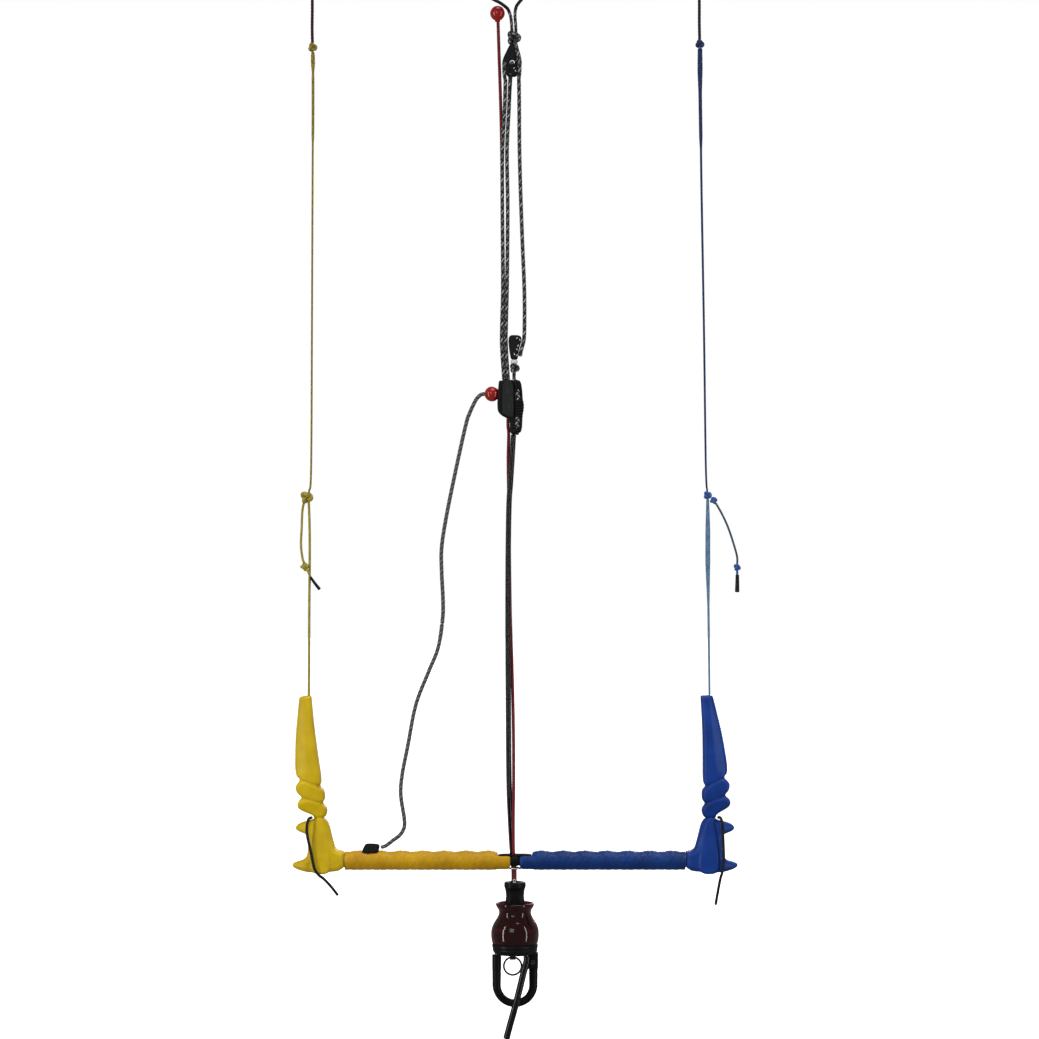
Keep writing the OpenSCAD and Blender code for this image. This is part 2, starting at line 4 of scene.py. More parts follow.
import bmesh
import bpy
import numpy as np
from mathutils import Euler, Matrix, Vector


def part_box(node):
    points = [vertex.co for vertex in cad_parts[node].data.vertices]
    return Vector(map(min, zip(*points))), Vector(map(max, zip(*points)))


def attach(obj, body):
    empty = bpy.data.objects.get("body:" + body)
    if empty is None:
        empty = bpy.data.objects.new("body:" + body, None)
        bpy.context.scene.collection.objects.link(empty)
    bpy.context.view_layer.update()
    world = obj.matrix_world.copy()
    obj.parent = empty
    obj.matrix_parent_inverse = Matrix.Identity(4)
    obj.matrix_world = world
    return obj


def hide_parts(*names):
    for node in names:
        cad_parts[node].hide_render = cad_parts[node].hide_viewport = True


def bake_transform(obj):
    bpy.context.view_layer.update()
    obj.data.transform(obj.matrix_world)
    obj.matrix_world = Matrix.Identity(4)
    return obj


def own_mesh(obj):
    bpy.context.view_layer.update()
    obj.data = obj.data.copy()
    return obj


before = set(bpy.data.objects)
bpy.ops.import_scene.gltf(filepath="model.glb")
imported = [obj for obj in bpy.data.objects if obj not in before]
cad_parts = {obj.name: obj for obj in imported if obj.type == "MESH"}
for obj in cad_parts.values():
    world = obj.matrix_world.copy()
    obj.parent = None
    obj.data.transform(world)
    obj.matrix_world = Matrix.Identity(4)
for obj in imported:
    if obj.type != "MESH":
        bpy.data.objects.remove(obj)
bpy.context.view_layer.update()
MM = 0.001


# ---- camera, light and floor
DISTANCE = 3.6  # from the camera to the object
VIEW_WIDTH = 1.2468  # across the picture, at the object
VIEW_MIDDLE = (0.0054, 0.5754)  # across and up
SENSOR = 36  # millimetres
FLOOR = -0.12


def place(obj):
    bpy.context.collection.objects.link(obj)
    return obj


def add_camera():
    data = bpy.data.cameras.new("camera")
    data.sensor_width = SENSOR
    data.lens = SENSOR * DISTANCE / VIEW_WIDTH
    camera = place(bpy.data.objects.new("camera", data))
    camera.location = (VIEW_MIDDLE[0], -DISTANCE, VIEW_MIDDLE[1])
    camera.rotation_euler = (math.pi / 2, 0, 0)
    bpy.context.scene.camera = camera


def add_area_light(name, spot, size, power):
    """A soft light at spot, so wide and high, aimed at the middle of the object."""
    data = bpy.data.lights.new(name, "AREA")
    data.shape = "RECTANGLE"
    data.size, data.size_y = size
    data.energy = power
    light = place(bpy.data.objects.new(name, data))
    light.location = spot
    aim = np.array([VIEW_MIDDLE[0], 0, VIEW_MIDDLE[1]]) - spot
    light.rotation_euler = (math.acos(-aim[2] / np.linalg.norm(aim)), 0, math.atan2(-aim[0], aim[1]))
    light.visible_camera = False


def add_sun(strength):
    data = bpy.data.lights.new("overhead", "SUN")
    data.energy = strength
    data.angle = math.radians(40)
    light = place(bpy.data.objects.new("overhead", data))
    light.rotation_euler = (math.radians(12), math.radians(8), 0)


def add_world(seen, cast):
    """White behind the object, and a dimmer surround in what its surfaces reflect."""
    bpy.context.scene.view_settings.view_transform = "Standard"
    world = bpy.data.worlds.new("studio")
    world.use_nodes = True
    bpy.context.scene.world = world
    nodes, links = world.node_tree.nodes, world.node_tree.links
    background = nodes["Background"]
    level = nodes.new("ShaderNodeMapRange")
    level.inputs["To Min"].default_value = cast
    level.inputs["To Max"].default_value = seen
    links.new(nodes.new("ShaderNodeLightPath").outputs["Is Camera Ray"], level.inputs["Value"])
    links.new(level.outputs[0], background.inputs["Strength"])
    background.inputs["Color"].default_value = (1, 1, 1, 1)


def add_floor():
    side = 14
    data = bpy.data.meshes.new("floor")
    corners = [(-side, -side, FLOOR), (side, -side, FLOOR), (side, side, FLOOR), (-side, side, FLOOR)]
    data.from_pydata(corners, [], [(0, 1, 2, 3)])
    floor = place(bpy.data.objects.new("floor", data))
    paint = Paint("floor_white", grey(0.9), 0.9)
    paint.shader.inputs["Emission Color"].default_value = (1, 1, 1, 1)
    paint.shader.inputs["Emission Strength"].default_value = 0.8
    data.materials.append(paint.material)
    floor.visible_glossy = False
    floor.visible_diffuse = False
    floor.visible_shadow = False


# ---- materials
class Paint:
    """One procedural material, with short ways to add nodes to it."""

    def __init__(self, name, color, roughness, **sockets):
        self.material = bpy.data.materials.new(name)
        self.material.use_nodes = True
        self.tree = self.material.node_tree
        self.shader = self.tree.nodes["Principled BSDF"]
        self.shader.inputs["Base Color"].default_value = (*color, 1)
        self.shader.inputs["Roughness"].default_value = roughness
        for socket, value in sockets.items():
            self.shader.inputs[socket.replace("_", " ")].default_value = value

    def feed(self, socket, value):
        if isinstance(value, bpy.types.NodeSocket):
            self.tree.links.new(value, socket)
        elif value is not None:
            socket.default_value = value

    def node(self, kind, settings=None, **inputs):
        """Adds a node. Inputs are named as on the node, with _ for a space."""
        made = self.tree.nodes.new("ShaderNode" + kind)
        for key, value in (settings or {}).items():
            setattr(made, key, value)
        for name, value in inputs.items():
            self.feed(made.inputs[name.replace("_", " ")], value)
        return made.outputs

    def math(self, operation, *values):
        made = self.tree.nodes.new("ShaderNodeMath")
        made.operation = operation
        for socket, value in zip(made.inputs, values):
            self.feed(socket, value)
        return made.outputs[0]

    def place(self, stretch=(1, 1, 1)):
        """The point on the object, in metres, stretched along its axes."""
        point = self.node("TexCoord")["Object"]
        return self.node("Mapping", Vector=point, Scale=stretch)[0]

    def noise(self, scale, detail, stretch=(1, 1, 1)):
        return self.node("TexNoise", Vector=self.place(stretch), Scale=scale, Detail=detail)["Fac"]

    def spread(self, value, low, high, to_low=0.0, to_high=1.0):
        """Value from low to high made to run from to_low to to_high."""
        names = {"From_Min": low, "From_Max": high, "To_Min": to_low, "To_Max": to_high}
        return self.node("MapRange", Value=value, **names)[0]

    def mix(self, share, first, second):
        made = self.tree.nodes.new("ShaderNodeMix")
        made.data_type = "RGBA"
        self.feed(made.inputs[0], share)
        self.feed(made.inputs[6], (*first, 1) if isinstance(first, tuple) else first)
        self.feed(made.inputs[7], (*second, 1) if isinstance(second, tuple) else second)
        return made.outputs[2]

    def bump(self, height, strength, distance):
        normal = self.node("Bump", Height=height, Strength=strength, Distance=distance)[0]
        self.feed(self.shader.inputs["Normal"], normal)

    def color(self, socket):
        self.feed(self.shader.inputs["Base Color"], socket)

    def rough(self, socket):
        self.feed(self.shader.inputs["Roughness"], socket)


def foam(name, base, deep, edge_highlight_tone):
    """Moulded foam: a skin of fine cells, cloudy in tone, with a patchy painted highlight along its convex edges."""
    paint = Paint(name, base, 0.5, Specular_IOR_Level=0.26)
    cloud = paint.noise(38, 3)
    tone = paint.mix(paint.spread(cloud, 0.35, 0.7), base, deep)
    # Painted highlight: convex edges, broken up by noise, are lightened towards the paler tone.
    edge_highlight_mask = paint.node("Attribute", {"attribute_name": "wear"})["Fac"]
    scuffs = paint.math("MULTIPLY", edge_highlight_mask, paint.spread(paint.noise(260, 3), 0.3, 0.65))
    tone = paint.mix(scuffs, tone, edge_highlight_tone)
    cells = paint.noise(1500, 2)
    paint.color(paint.mix(paint.spread(cells, 0.4, 0.75, 0, 0.22), tone, deep))
    paint.rough(paint.spread(paint.noise(90, 3), 0.3, 0.7, 0.36, 0.5))
    paint.bump(paint.math("ADD", cells, paint.math("MULTIPLY", cloud, 2.0)), 0.35, 0.25 * MM)
    return paint.material


def grey(level):
    return (level,) * 3


def moulded(name, base, light, roughness=0.42):
    """Moulded nylon or rubber: a fine grain with faint flow marks and scuffs."""
    paint = Paint(name, base, roughness, Specular_IOR_Level=0.14)
    flow = paint.noise(55, 4)
    scuffs = paint.spread(paint.noise(700, 3, (1, 1, 0.15)), 0.6, 0.75)
    marks = paint.math("MULTIPLY", scuffs, paint.spread(flow, 0.45, 0.65))
    paint.color(paint.mix(marks, paint.mix(flow, base, light), tuple(2.2 * c for c in light)))
    paint.rough(paint.spread(flow, 0.3, 0.7, roughness - 0.1, roughness + 0.12))
    paint.bump(paint.noise(2600, 2), 0.3, 0.12 * MM)
    return paint.material


def polished(name, base, light, roughness=0.12, wear=1.0, **sockets):
    """A glossy skin with long faint scratches."""
    paint = Paint(name, base, roughness, **sockets)
    scratches = paint.noise(900, 3, (1, 1, 0.04))
    paint.color(paint.mix(paint.spread(scratches, 0.45, 0.8), base, light))
    paint.rough(paint.spread(scratches, 0.35, 0.75, roughness - 0.04 * wear, roughness + 0.12 * wear))
    paint.bump(scratches, 0.08 * wear, 0.06 * MM)
    return paint.material


def metal(name, base, roughness=0.28):
    """Bright metal, brushed round its length."""
    paint = Paint(name, base, roughness, Metallic=1.0)
    brushed = paint.noise(1800, 3, (1, 1, 0.12))
    dull = paint.noise(120, 3)
    paint.color(paint.mix(dull, base, tuple(0.7 * c for c in base)))
    paint.rough(paint.spread(brushed, 0.3, 0.7, roughness - 0.08, roughness + 0.12))
    paint.bump(brushed, 0.12, 0.05 * MM)
    return paint.material


def webbing(name, base, light):
    """Black woven tape: ribs across it with the glint of their threads."""
    paint = Paint(name, base, 0.75, Specular_IOR_Level=0.2)
    point = paint.place()
    rib = paint.node("TexWave", {"bands_direction": "Z"}, Vector=point, Scale=230, Distortion=0.6)["Fac"]
    warp = paint.node("TexWave", {"bands_direction": "X"}, Vector=point, Scale=330, Distortion=0.8)["Fac"]
    weave = paint.math("MULTIPLY", rib, warp)
    fuzz = paint.noise(1200, 4)
    paint.color(paint.mix(paint.math("MULTIPLY", weave, fuzz), base, light))
    paint.bump(paint.math("ADD", weave, fuzz), 0.5, 0.3 * MM)
    return paint.material


def braided(name, colors, cell):
    """A braid of crossing strands, one color each, that matches the relief of braid_height. Each strand is darkened
    towards its edges as painted shade.
    cell is the distance along the rope between two crossings of the same strands."""
    paint = Paint(name, colors[0], 0.6, Specular_IOR_Level=0.25)
    strands = len(colors)
    rope = paint.node("UVMap", {"uv_map": "rope"})[0]
    parts = paint.node("SeparateXYZ", Vector=rope)
    turn = paint.math("MULTIPLY", parts[0], float(strands))
    climb = paint.math("DIVIDE", parts[1], cell)
    right, left = paint.math("ADD", turn, climb), paint.math("SUBTRACT", turn, climb)
    cells = paint.math("ADD", paint.math("FLOOR", right), paint.math("FLOOR", left))
    under = paint.math("FLOORED_MODULO", cells, 2.0)
    over = paint.math("SUBTRACT", 1.0, under)

    def pick(first, second):
        shown = paint.math("MULTIPLY", first, over)
        return paint.math("ADD", shown, paint.math("MULTIPLY", second, under))

    strand = pick(paint.math("FLOOR", right), paint.math("FLOOR", left))
    share = paint.math("DIVIDE", paint.math("FLOORED_MODULO", strand, float(strands)), float(strands))
    ramp = paint.tree.nodes.new("ShaderNodeValToRGB")
    ramp.color_ramp.interpolation = "CONSTANT"
    stops = ramp.color_ramp.elements
    stops[1].position = 0.9 / strands
    for index, color in enumerate(colors):
        stop = stops[index] if index < 2 else stops.new((index - 0.1) / strands)
        stop.color = (*color, 1)
    paint.feed(ramp.inputs[0], paint.math("ADD", share, 0.02 / strands))
    across = pick(paint.math("FRACT", right), paint.math("FRACT", left))
    crown = paint.math("SINE", paint.math("MULTIPLY", across, math.pi))
    fibres = paint.noise(2400, 3)
    threads = paint.math("SINE", paint.math("MULTIPLY", across, 8 * math.pi))
    # Painted shade: each strand darker towards its edges, where it dips under its neighbours, with real fibre tone
    # mixed in.
    shade = paint.spread(paint.math("MULTIPLY", crown, paint.spread(fibres, 0.2, 0.8, 0.6, 1.1)), 0, 0.9, 0.35, 1.0)
    strand_color_with_painted_shade = paint.node("VectorMath", {"operation": "SCALE"}, Vector=ramp.outputs[0], Scale=shade)[0]
    paint.color(strand_color_with_painted_shade)
    paint.rough(paint.spread(fibres, 0.2, 0.8, 0.45, 0.75))
    height = paint.math("ADD", crown, paint.math("MULTIPLY", threads, 0.12))
    paint.bump(paint.math("ADD", height, paint.math("MULTIPLY", fibres, 0.35)), 0.5, 0.2 * MM)
    return paint.material


# ---- meshes swept along a line, in millimetres
def lengths(path):
    """Distance along the path to each of its points."""
    return np.concatenate([[0], np.cumsum(np.linalg.norm(np.diff(path, axis=0), axis=1))])


def smooth(route, spacing):
    """Evenly spaced points on the smooth curve through a route's points."""
    points = np.array(route, float)
    points = np.vstack([points[:1], points, points[-1:]])
    dense = []
    for a, b, c, d in zip(points, points[1:], points[2:], points[3:]):
        for t in np.linspace(0, 1, 16, endpoint=False):
            cubic = 2 * b + (c - a) * t + (2 * a - 5 * b + 4 * c - d) * t**2 + (3 * b - a - 3 * c + d) * t**3
            dense.append(cubic / 2)
    dense = np.array(dense + [points[-1]])
    along = lengths(dense)
    even = np.linspace(0, along[-1], max(3, round(along[-1] / spacing)) + 1)
    return np.column_stack([np.interp(even, along, dense[:, axis]) for axis in range(3)])


def unit(vectors):
    return vectors / np.linalg.norm(vectors, axis=-1, keepdims=True)


def frames(path, closed):
    """Two directions across the path at each point, carried along it without twisting."""
    if closed:
        along = unit(np.roll(path, -1, 0) - np.roll(path, 1, 0))
    else:
        along = unit(np.gradient(path, axis=0))
    start = (0, 1, 0) if abs(along[0][1]) < 0.95 else (1, 0, 0)
    across = [unit(np.cross(start, along[0]))]
    for direction in along[1:]:
        flat = across[-1] - direction * np.dot(across[-1], direction)
        across.append(flat / np.linalg.norm(flat))
    across = np.array(across)
    return across, np.cross(along, across)


def build(name, verts, faces, material, uv=None):
    """A smooth-shaded mesh object. uv holds a pair for each corner of each face."""
    data = bpy.data.meshes.new(name)
    data.from_pydata((np.asarray(verts) * MM).tolist(), [], faces)
    if uv is not None:
        layer = data.uv_layers.new(name="rope")
        layer.data.foreach_set("uv", np.asarray(uv, np.float32).ravel())
    data.shade_smooth()
    data.materials.append(material)
    return place(bpy.data.objects.new(name, data))


def sweep(name, path, radius, sides, material, closed=False):
    """A tube along a path. radius gives each point's distance from the path, from the distance
    along it and the angle round it, or it is one number."""
    path = np.asarray(path, float)
    count = len(path)
    along = lengths(path)
    angle = np.arange(sides) * 2 * math.pi / sides
    wide = radius(along[:, None], angle[None, :]) if callable(radius) else radius
    wide = np.broadcast_to(wide, (count, sides))
    across, away = frames(path, closed)
    twist = np.zeros(count)
    if closed:
        flat = across[-1]
        drift = math.atan2(np.dot(np.cross(across[0], flat), np.cross(across[0], away[0])), np.dot(across[0], flat))
        twist = -drift * np.arange(count) / count
    turned = angle[None, :] + twist[:, None]
    points = path[:, None] + wide[..., None] * (
        np.cos(turned)[..., None] * across[:, None] + np.sin(turned)[..., None] * away[:, None]
    )
    verts = points.reshape(-1, 3).tolist()
    faces, uv = [], []
    total = along[-1] + (np.linalg.norm(path[0] - path[-1]) if closed else 0)
    for i in range(count if closed else count - 1):
        j = (i + 1) % count
        low, high = along[i], along[j] if j else total
        for k in range(sides):
            m = (k + 1) % sides
            faces.append((i * sides + k, i * sides + m, j * sides + m, j * sides + k))
            left, right = k / sides, (k + 1) / sides
            uv += [(left, low), (right, low), (right, high), (left, high)]
    if not closed:
        for ring, middle, turn in ((0, path[0], -1), (count - 1, path[-1], 1)):
            centre = len(verts)
            verts.append(middle.tolist())
            for k in range(sides):
                a, b = ring * sides + k, ring * sides + (k + 1) % sides
                faces.append((a, b, centre) if turn > 0 else (b, a, centre))
                uv += [(k / sides, along[ring])] * 3
    return build(name, verts, faces, material, uv)


def rounded_ends(along, reach):
    """1 along a tube, falling in a quarter circle over the last of it at each end."""
    near = np.clip(np.minimum(along, along[-1] - along) / reach, 0, 1)
    return np.sqrt(1 - 0.93 * (1 - near) ** 2)


def braid_height(angle, along, strands, cell):
    """Height from 0 to 1 of a braid of crossing strands."""
    turn, climb = strands * angle / (2 * math.pi), along / cell
    right, left = turn + climb, turn - climb
    over = (np.floor(right) + np.floor(left)) % 2 == 0
    across = np.where(over, right % 1, left % 1)
    ahead = np.where(over, left % 1, right % 1)
    return np.sin(math.pi * across) ** 0.7 * (0.6 + 0.4 * np.sin(math.pi * ahead))


def rope(name, path, radius, material, strands, cell, sides=20, relief=0.16, pair=None):
    """A braided rope. radius is a number, or stops (share of the length, radius). pair gives
    stops (share, amount) of how far it parts into two lines side by side."""
    total = lengths(np.asarray(path))[-1]

    def shape(along, angle):
        share = along / total
        wide = np.interp(share, *zip(*radius)) if isinstance(radius, list) else radius
        wide = wide * (1 - relief + relief * braid_height(angle, along, strands, cell))
        if pair:
            part = np.interp(share, *zip(*pair))
            wide = wide * (1 + part * (np.maximum(1.9 * np.abs(np.cos(angle)), 0.45) - 1))
        return wide * rounded_ends(along, 1.2)

    return sweep(name, path, shape, sides, material)


def lathe(name, profile, material, centre=(0, 0, 0), axis="Z", segments=96):
    """A profile of (radius, height) turned about an axis through centre."""
    profile = np.array(profile, float)
    angle = np.arange(segments) * 2 * math.pi / segments
    r, h = profile[:, :1], np.repeat(profile[:, 1:], segments, 1)
    x, y = r * np.cos(angle), r * np.sin(angle)
    order = {"Z": (x, y, h), "X": (h, x, y), "Y": (y, h, x)}[axis]
    verts = (np.stack(order, -1) + np.asarray(centre)).reshape(-1, 3).tolist()
    faces = []
    for i in range(len(profile) - 1):
        for k in range(segments):
            m = (k + 1) % segments
            low, high = i * segments, (i + 1) * segments
            faces.append((low + k, low + m, high + m, high + k))
    obj = build(name, verts, faces, material)
    obj.data.validate()
    weld(obj)
    return obj


def weld(obj):
    """Joins points that share a place, as where a profile meets its axis."""
    mesh = bmesh.new()
    mesh.from_mesh(obj.data)
    bmesh.ops.remove_doubles(mesh, verts=mesh.verts, dist=1e-6)
    bmesh.ops.dissolve_degenerate(mesh, dist=1e-7, edges=mesh.edges)
    bmesh.ops.recalc_face_normals(mesh, faces=mesh.faces)
    mesh.to_mesh(obj.data)
    mesh.free()


# ---- solid shapes given by a distance field
def soften(points, share=0.22):
    """Rounds the corners of a closed outline by cutting them."""
    points = np.array(points, float)
    for _ in range(2):
        ahead = np.roll(points, -1, 0)
        cut = [points * (1 - share) + ahead * share, points * share + ahead * (1 - share)]
        points = np.stack(cut, 1).reshape(-1, 2)
    return points


def outline_distance(outline, u, v):
    """Signed distance from (u, v) to a closed outline, negative inside."""
    u, v = np.broadcast_arrays(u, v)
    nearest = np.full(u.shape, np.inf)
    inside = np.zeros(u.shape, bool)
    for (ax, ay), (bx, by) in zip(outline, np.roll(outline, -1, 0)):
        ex, ey = bx - ax, by - ay
        share = np.clip(((u - ax) * ex + (v - ay) * ey) / (ex * ex + ey * ey + 1e-18), 0, 1)
        nearest = np.minimum(nearest, (u - ax - ex * share) ** 2 + (v - ay - ey * share) ** 2)
        if ay != by:
            inside ^= ((ay > v) != (by > v)) & (u < ex * (v - ay) / ey + ax)
    return np.where(inside, -1, 1) * np.sqrt(nearest)


def plate(flat, depth, edge):
    """Distance to a plate with rounded edges, from the distances past its outline and faces."""
    a, b = flat + edge, depth + edge
    return np.minimum(np.maximum(a, b), 0) + np.hypot(np.maximum(a, 0), np.maximum(b, 0)) - edge


def merge(a, b, soft):
    """Two distance fields joined with a fillet."""
    share = np.clip(0.5 + 0.5 * (b - a) / soft, 0, 1)
    return b * (1 - share) + a * share - soft * share * (1 - share)


def carve(a, b, soft):
    """Field a with b cut out of it, the cut's edge rounded."""
    return -merge(-a, b, soft)


def bump_at(distance, width):
    """1 at no distance, falling smoothly to 0 over about twice the width."""
    return np.exp(-((distance / width) ** 2))


def surface(name, field, low, high, step, material):
    """The quad mesh of where field(x, y, z) is zero, by the surface nets method, with each
    point then moved onto the field's own surface. Its wear attribute marks convex edges,
    which the foam lightens as a painted highlight."""
    axes = [np.arange(a - 2 * step, b + 3 * step, step) for a, b in zip(low, high)]
    x, y, z = axes[0][:, None, None], axes[1][None, :, None], axes[2][None, None, :]
    d = np.array(np.broadcast_to(field(x, y, z), [len(a) for a in axes]))
    cells = [len(a) - 1 for a in axes]
    total, count = np.zeros((*cells, 3)), np.zeros(cells, int)
    edges = []
    for axis in range(3):
        u, v = (axis + 1) % 3, (axis + 2) % 3
        first, second = [slice(None)] * 3, [slice(None)] * 3
        first[axis], second[axis] = slice(0, -1), slice(1, None)
        a, b = d[tuple(first)], d[tuple(second)]
        crossing = (a < 0) != (b < 0)
        share = np.where(crossing, a / np.where(crossing, a - b, 1), 0)
        for i in (0, 1):
            for j in (0, 1):
                part = [slice(None)] * 3
                part[u], part[v] = slice(i, cells[u] + i), slice(j, cells[v] + j)
                here = crossing[tuple(part)]
                total[..., axis] += share[tuple(part)]
                total[..., u] += here * i
                total[..., v] += here * j
                count += here
        edges.append((axis, u, v, crossing))
    active = count > 0
    index = np.full(cells, -1)
    index[active] = np.arange(active.sum())
    origin = np.array([a[0] for a in axes])
    verts = origin + step * (np.argwhere(active) + total[active] / count[active][:, None])
    faces = []
    for axis, u, v, crossing in edges:
        at = np.argwhere(crossing)
        at = at[(at[:, u] > 0) & (at[:, v] > 0) & (at[:, u] < cells[u]) & (at[:, v] < cells[v])]

        def cell(back_u, back_v):
            moved = at.copy()
            moved[:, u] -= back_u
            moved[:, v] -= back_v
            return index[tuple(moved.T)]

        quads = np.column_stack([cell(1, 1), cell(0, 1), cell(0, 0), cell(1, 0)])
        flip = d[tuple(at.T)] >= 0
        quads[flip] = quads[flip][:, ::-1]
        faces += quads.tolist()
    reach = step / 2
    shifts = np.eye(3) * reach
    for _ in range(3):
        here = field(*verts.T)
        slope = np.stack([(field(*(verts + s).T) - field(*(verts - s).T)) / (2 * reach) for s in shifts], -1)
        steep = np.maximum((slope**2).sum(-1, keepdims=True), 0.05)
        verts = verts - slope * np.clip(here, -step, step)[:, None] / steep
    bend = sum(field(*(verts + s).T) + field(*(verts - s).T) for s in shifts * 2) / (4 * reach)
    obj = build(name, verts.tolist(), faces, material)
    # The attribute named wear is the convex-edge mask for the foam's painted edge highlight.
    wear = obj.data.attributes.new("wear", "FLOAT", "POINT")
    wear.data.foreach_set("value", np.clip(bend * 1.1 - 0.15, 0, 1).astype(np.float32))
    return obj


# ---- how a piece joins the frame
def cut_away(obj, *tools):
    """Takes the tools' shapes out of a piece for good."""
    for tool in tools:
        cut = obj.modifiers.new("cut", "BOOLEAN")
        cut.object, cut.operation, cut.solver = tool, "DIFFERENCE", "EXACT"
    whole = obj.evaluated_get(bpy.context.evaluated_depsgraph_get())
    data = bpy.data.meshes.new_from_object(whole)
    obj.modifiers.clear()
    obj.data = data
    for tool in tools:
        bpy.data.objects.remove(tool)
    return obj


def put(obj, body, slot, *nodes):
    """The piece rides on its body; slot is not used. It stands for the CAD nodes
    named, or for the one that has its own name."""
    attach(obj, body)
    own = obj.name.split(".")[0]
    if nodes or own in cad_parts:
        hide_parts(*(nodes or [own]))
    return obj


def mould(name, field, step, material, body, slot):
    """A solid in the place of the CAD node of its name."""
    low, high = (np.array(corner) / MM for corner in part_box(name))
    return put(surface(name, field, low, high, step, material), body, slot)


def repaint(material, *nodes):
    """A kept CAD node gets a better material."""
    for name in nodes:
        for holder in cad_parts[name].material_slots:
            holder.material = material


# ---- places, as in the CAD model
BAR_Z, RING_Z = 166, 157
NECK_X, NECK_Z = 234.3, 217.8
LEAN = {-1: math.radians(6.7), 1: math.radians(-1.8)}
EXIT_SHIFT = 3.8
ROPE_R, TRIM_CELL = 2.45, 3.2

# ---- routes of the lines
DEPOWER = [
    (-1, 0.8, 127), (-1.1, 0.8, 140), (-1.4, 0.8, 157), (-3.4, 0.6, 179), (-5.4, 0.4, 215), (-7.2, 0, 263),
    (-8, 0, 359), (-8.4, 0, 431), (-8.2, 0, 527), (-7.2, 0, 593), (-5.6, 0, 617), (-3.6, 0, 647), (-1.8, 0, 677.8),
]
SAFETY_LOW = [
    (-0.8, -3.2, 127), (-0.8, -3.2, 140), (-0.8, -3.2, 157), (-1.8, -3.4, 179), (-2, -3.2, 215), (-1.6, -2.2, 263),
    (-2, 1.2, 330), (-3.6, 3.6, 400), (-5.6, 4.2, 460), (-6.6, 4.2, 527), (-7.4, 4.2, 593), (-8, 4, 625),
    (-8.2, 3.6, 650), (-7.6, 3, 677.8), (-8.4, 1, 687), (-8.4, -1, 697.5),
]
SAFETY_HIGH = [
    (-12, 5.4, 742.8), (-13, 5.6, 800), (-14, 5.6, 880), (-15.4, 5.4, 960), (-16.2, 5, 1030), (-17.4, 3, 1080),
    (-19, 1, 1130), (-20.4, 0, 1173.8),
]
ROPE_A = [
    (-13.2, 0, 742.8), (-15.8, 0, 785), (-15.6, 0, 809), (-14.6, 0, 851), (-14.8, 0, 905), (-15.2, 0, 959),
    (-15, 0, 1019), (-12.4, 0, 1070), (-11.4, 0, 1104),
]
ROPE_B = [
    (-8.2, 0, 742.8), (-10.8, 0, 785), (-10.6, 0, 809), (-9.6, 0, 851), (-9, 0, 905), (-8.8, 0, 959),
    (-9.6, 0, 1019), (-7.2, 0, 1070), (-6, 0, 1103),
]
ROPE_C = [
    (6, 0, 771), (7.6, 0, 779), (10.6, 0, 791), (11.4, 0, 809), (11.2, 0, 851), (9, 0, 905), (7, 0, 959),
    (5.4, 0, 1019), (5, 0, 1079), (4.6, 0, 1108),
]
TAIL_ROUTE = [
    (-33.5, 0, 726.2), (-36.9, 0, 726), (-41, 0, 725), (-46.8, 0, 719), (-54, 0, 704), (-59, 0, 689), (-71, 0, 635),
    (-82, 0, 581), (-88, 0, 542), (-88, 0, 512), (-86.4, 0, 479), (-87, 0, 455), (-92.4, 0, 421), (-104, 0, 392),
    (-119, 0, 353), (-128.4, -1, 305), (-135.4, -1, 269), (-137, -1, 245), (-133, -1, 218), (-133, -1, 206),
    (-138, -1, 197), (-147, -1, 190), (-155, -1, 184), (-161, -1, 182.2),
]
BUNGEE_LEFT = [
    (-244, -2, 217.8), (-245, -8, 218), (-247, -13.4, 216.4), (-248.6, -16.6, 208), (-248, -16.6, 197),
    (-244.4, -16.6, 181), (-240, -16.6, 160), (-235, -15.4, 151), (-229, -13, 146), (-221, -9, 137),
    (-212, -6, 125),
]
BUNGEE_RIGHT = [
    (243.8, -2, 218), (244.8, -8, 218.8), (246, -13.6, 218), (247.6, -16.6, 213), (248.4, -16.6, 200),
    (249.4, -16.6, 172), (248, -16.6, 156), (245.4, -15, 146), (242.6, -12, 130), (240, -10, 114),
]
LEADER_LEFT = [
    (-247.4, 0, 363.4), (-247.2, 0, 400), (-246.8, 0, 479), (-246.4, 0, 512), (-246.4, 0, 560), (-247.4, 0, 594),
    (-248.6, 0, 600),
]
LINE_LEFT = [
    (-249.6, 0, 603.5), (-247, 0, 609.4), (-244.6, 0, 640), (-243.6, 0, 820), (-242.8, 0, 1000), (-242.4, 0, 1060),
    (-242.4, 0, 1115), (-242.6, 0, 1137.2),
]
ADJUSTER_LEFT = [
    (-251.6, 0, 600), (-253.4, 0, 595), (-255.2, 0, 585), (-256, 0, 565), (-256.8, 0, 545), (-255, 0, 529),
    (-252.8, 0, 523.2),
]
LEADER_RIGHT = [(233.4, 0, 364.8), (233, 0, 400), (232, 0, 479), (231.4, 0, 520), (231.4, 0, 560), (231.2, 0, 600.4)]
LINE_RIGHT = [
    (230.8, 0, 608.8), (229, 0, 640), (226.8, 0, 800), (224, 0, 960), (223, 0, 1034), (222.2, 0, 1090),
    (222, 0, 1141.2),
]
ADJUSTER_RIGHT = [
    (240.8, 0, 595.2), (249.4, 0, 580), (256.8, 0, 563), (263.6, 0, 542), (266.6, 0, 530), (266.6, 0, 521.4),
]
ADJUSTER_TIP_RIGHT = [(266.6, 0, 514.6), (266.8, 0, 507), (266.6, 0, 488)]
PIGTAIL_LEFT = [(-243, 0, 1147), (-243.4, 0, 1165), (-243.2, 0, 1190), (-243.4, 0, 1222)]
PIGTAIL_RIGHT = [(221.6, 0, 1150.8), (221.2, 0, 1170), (221.2, 0, 1195), (221, 0, 1222)]
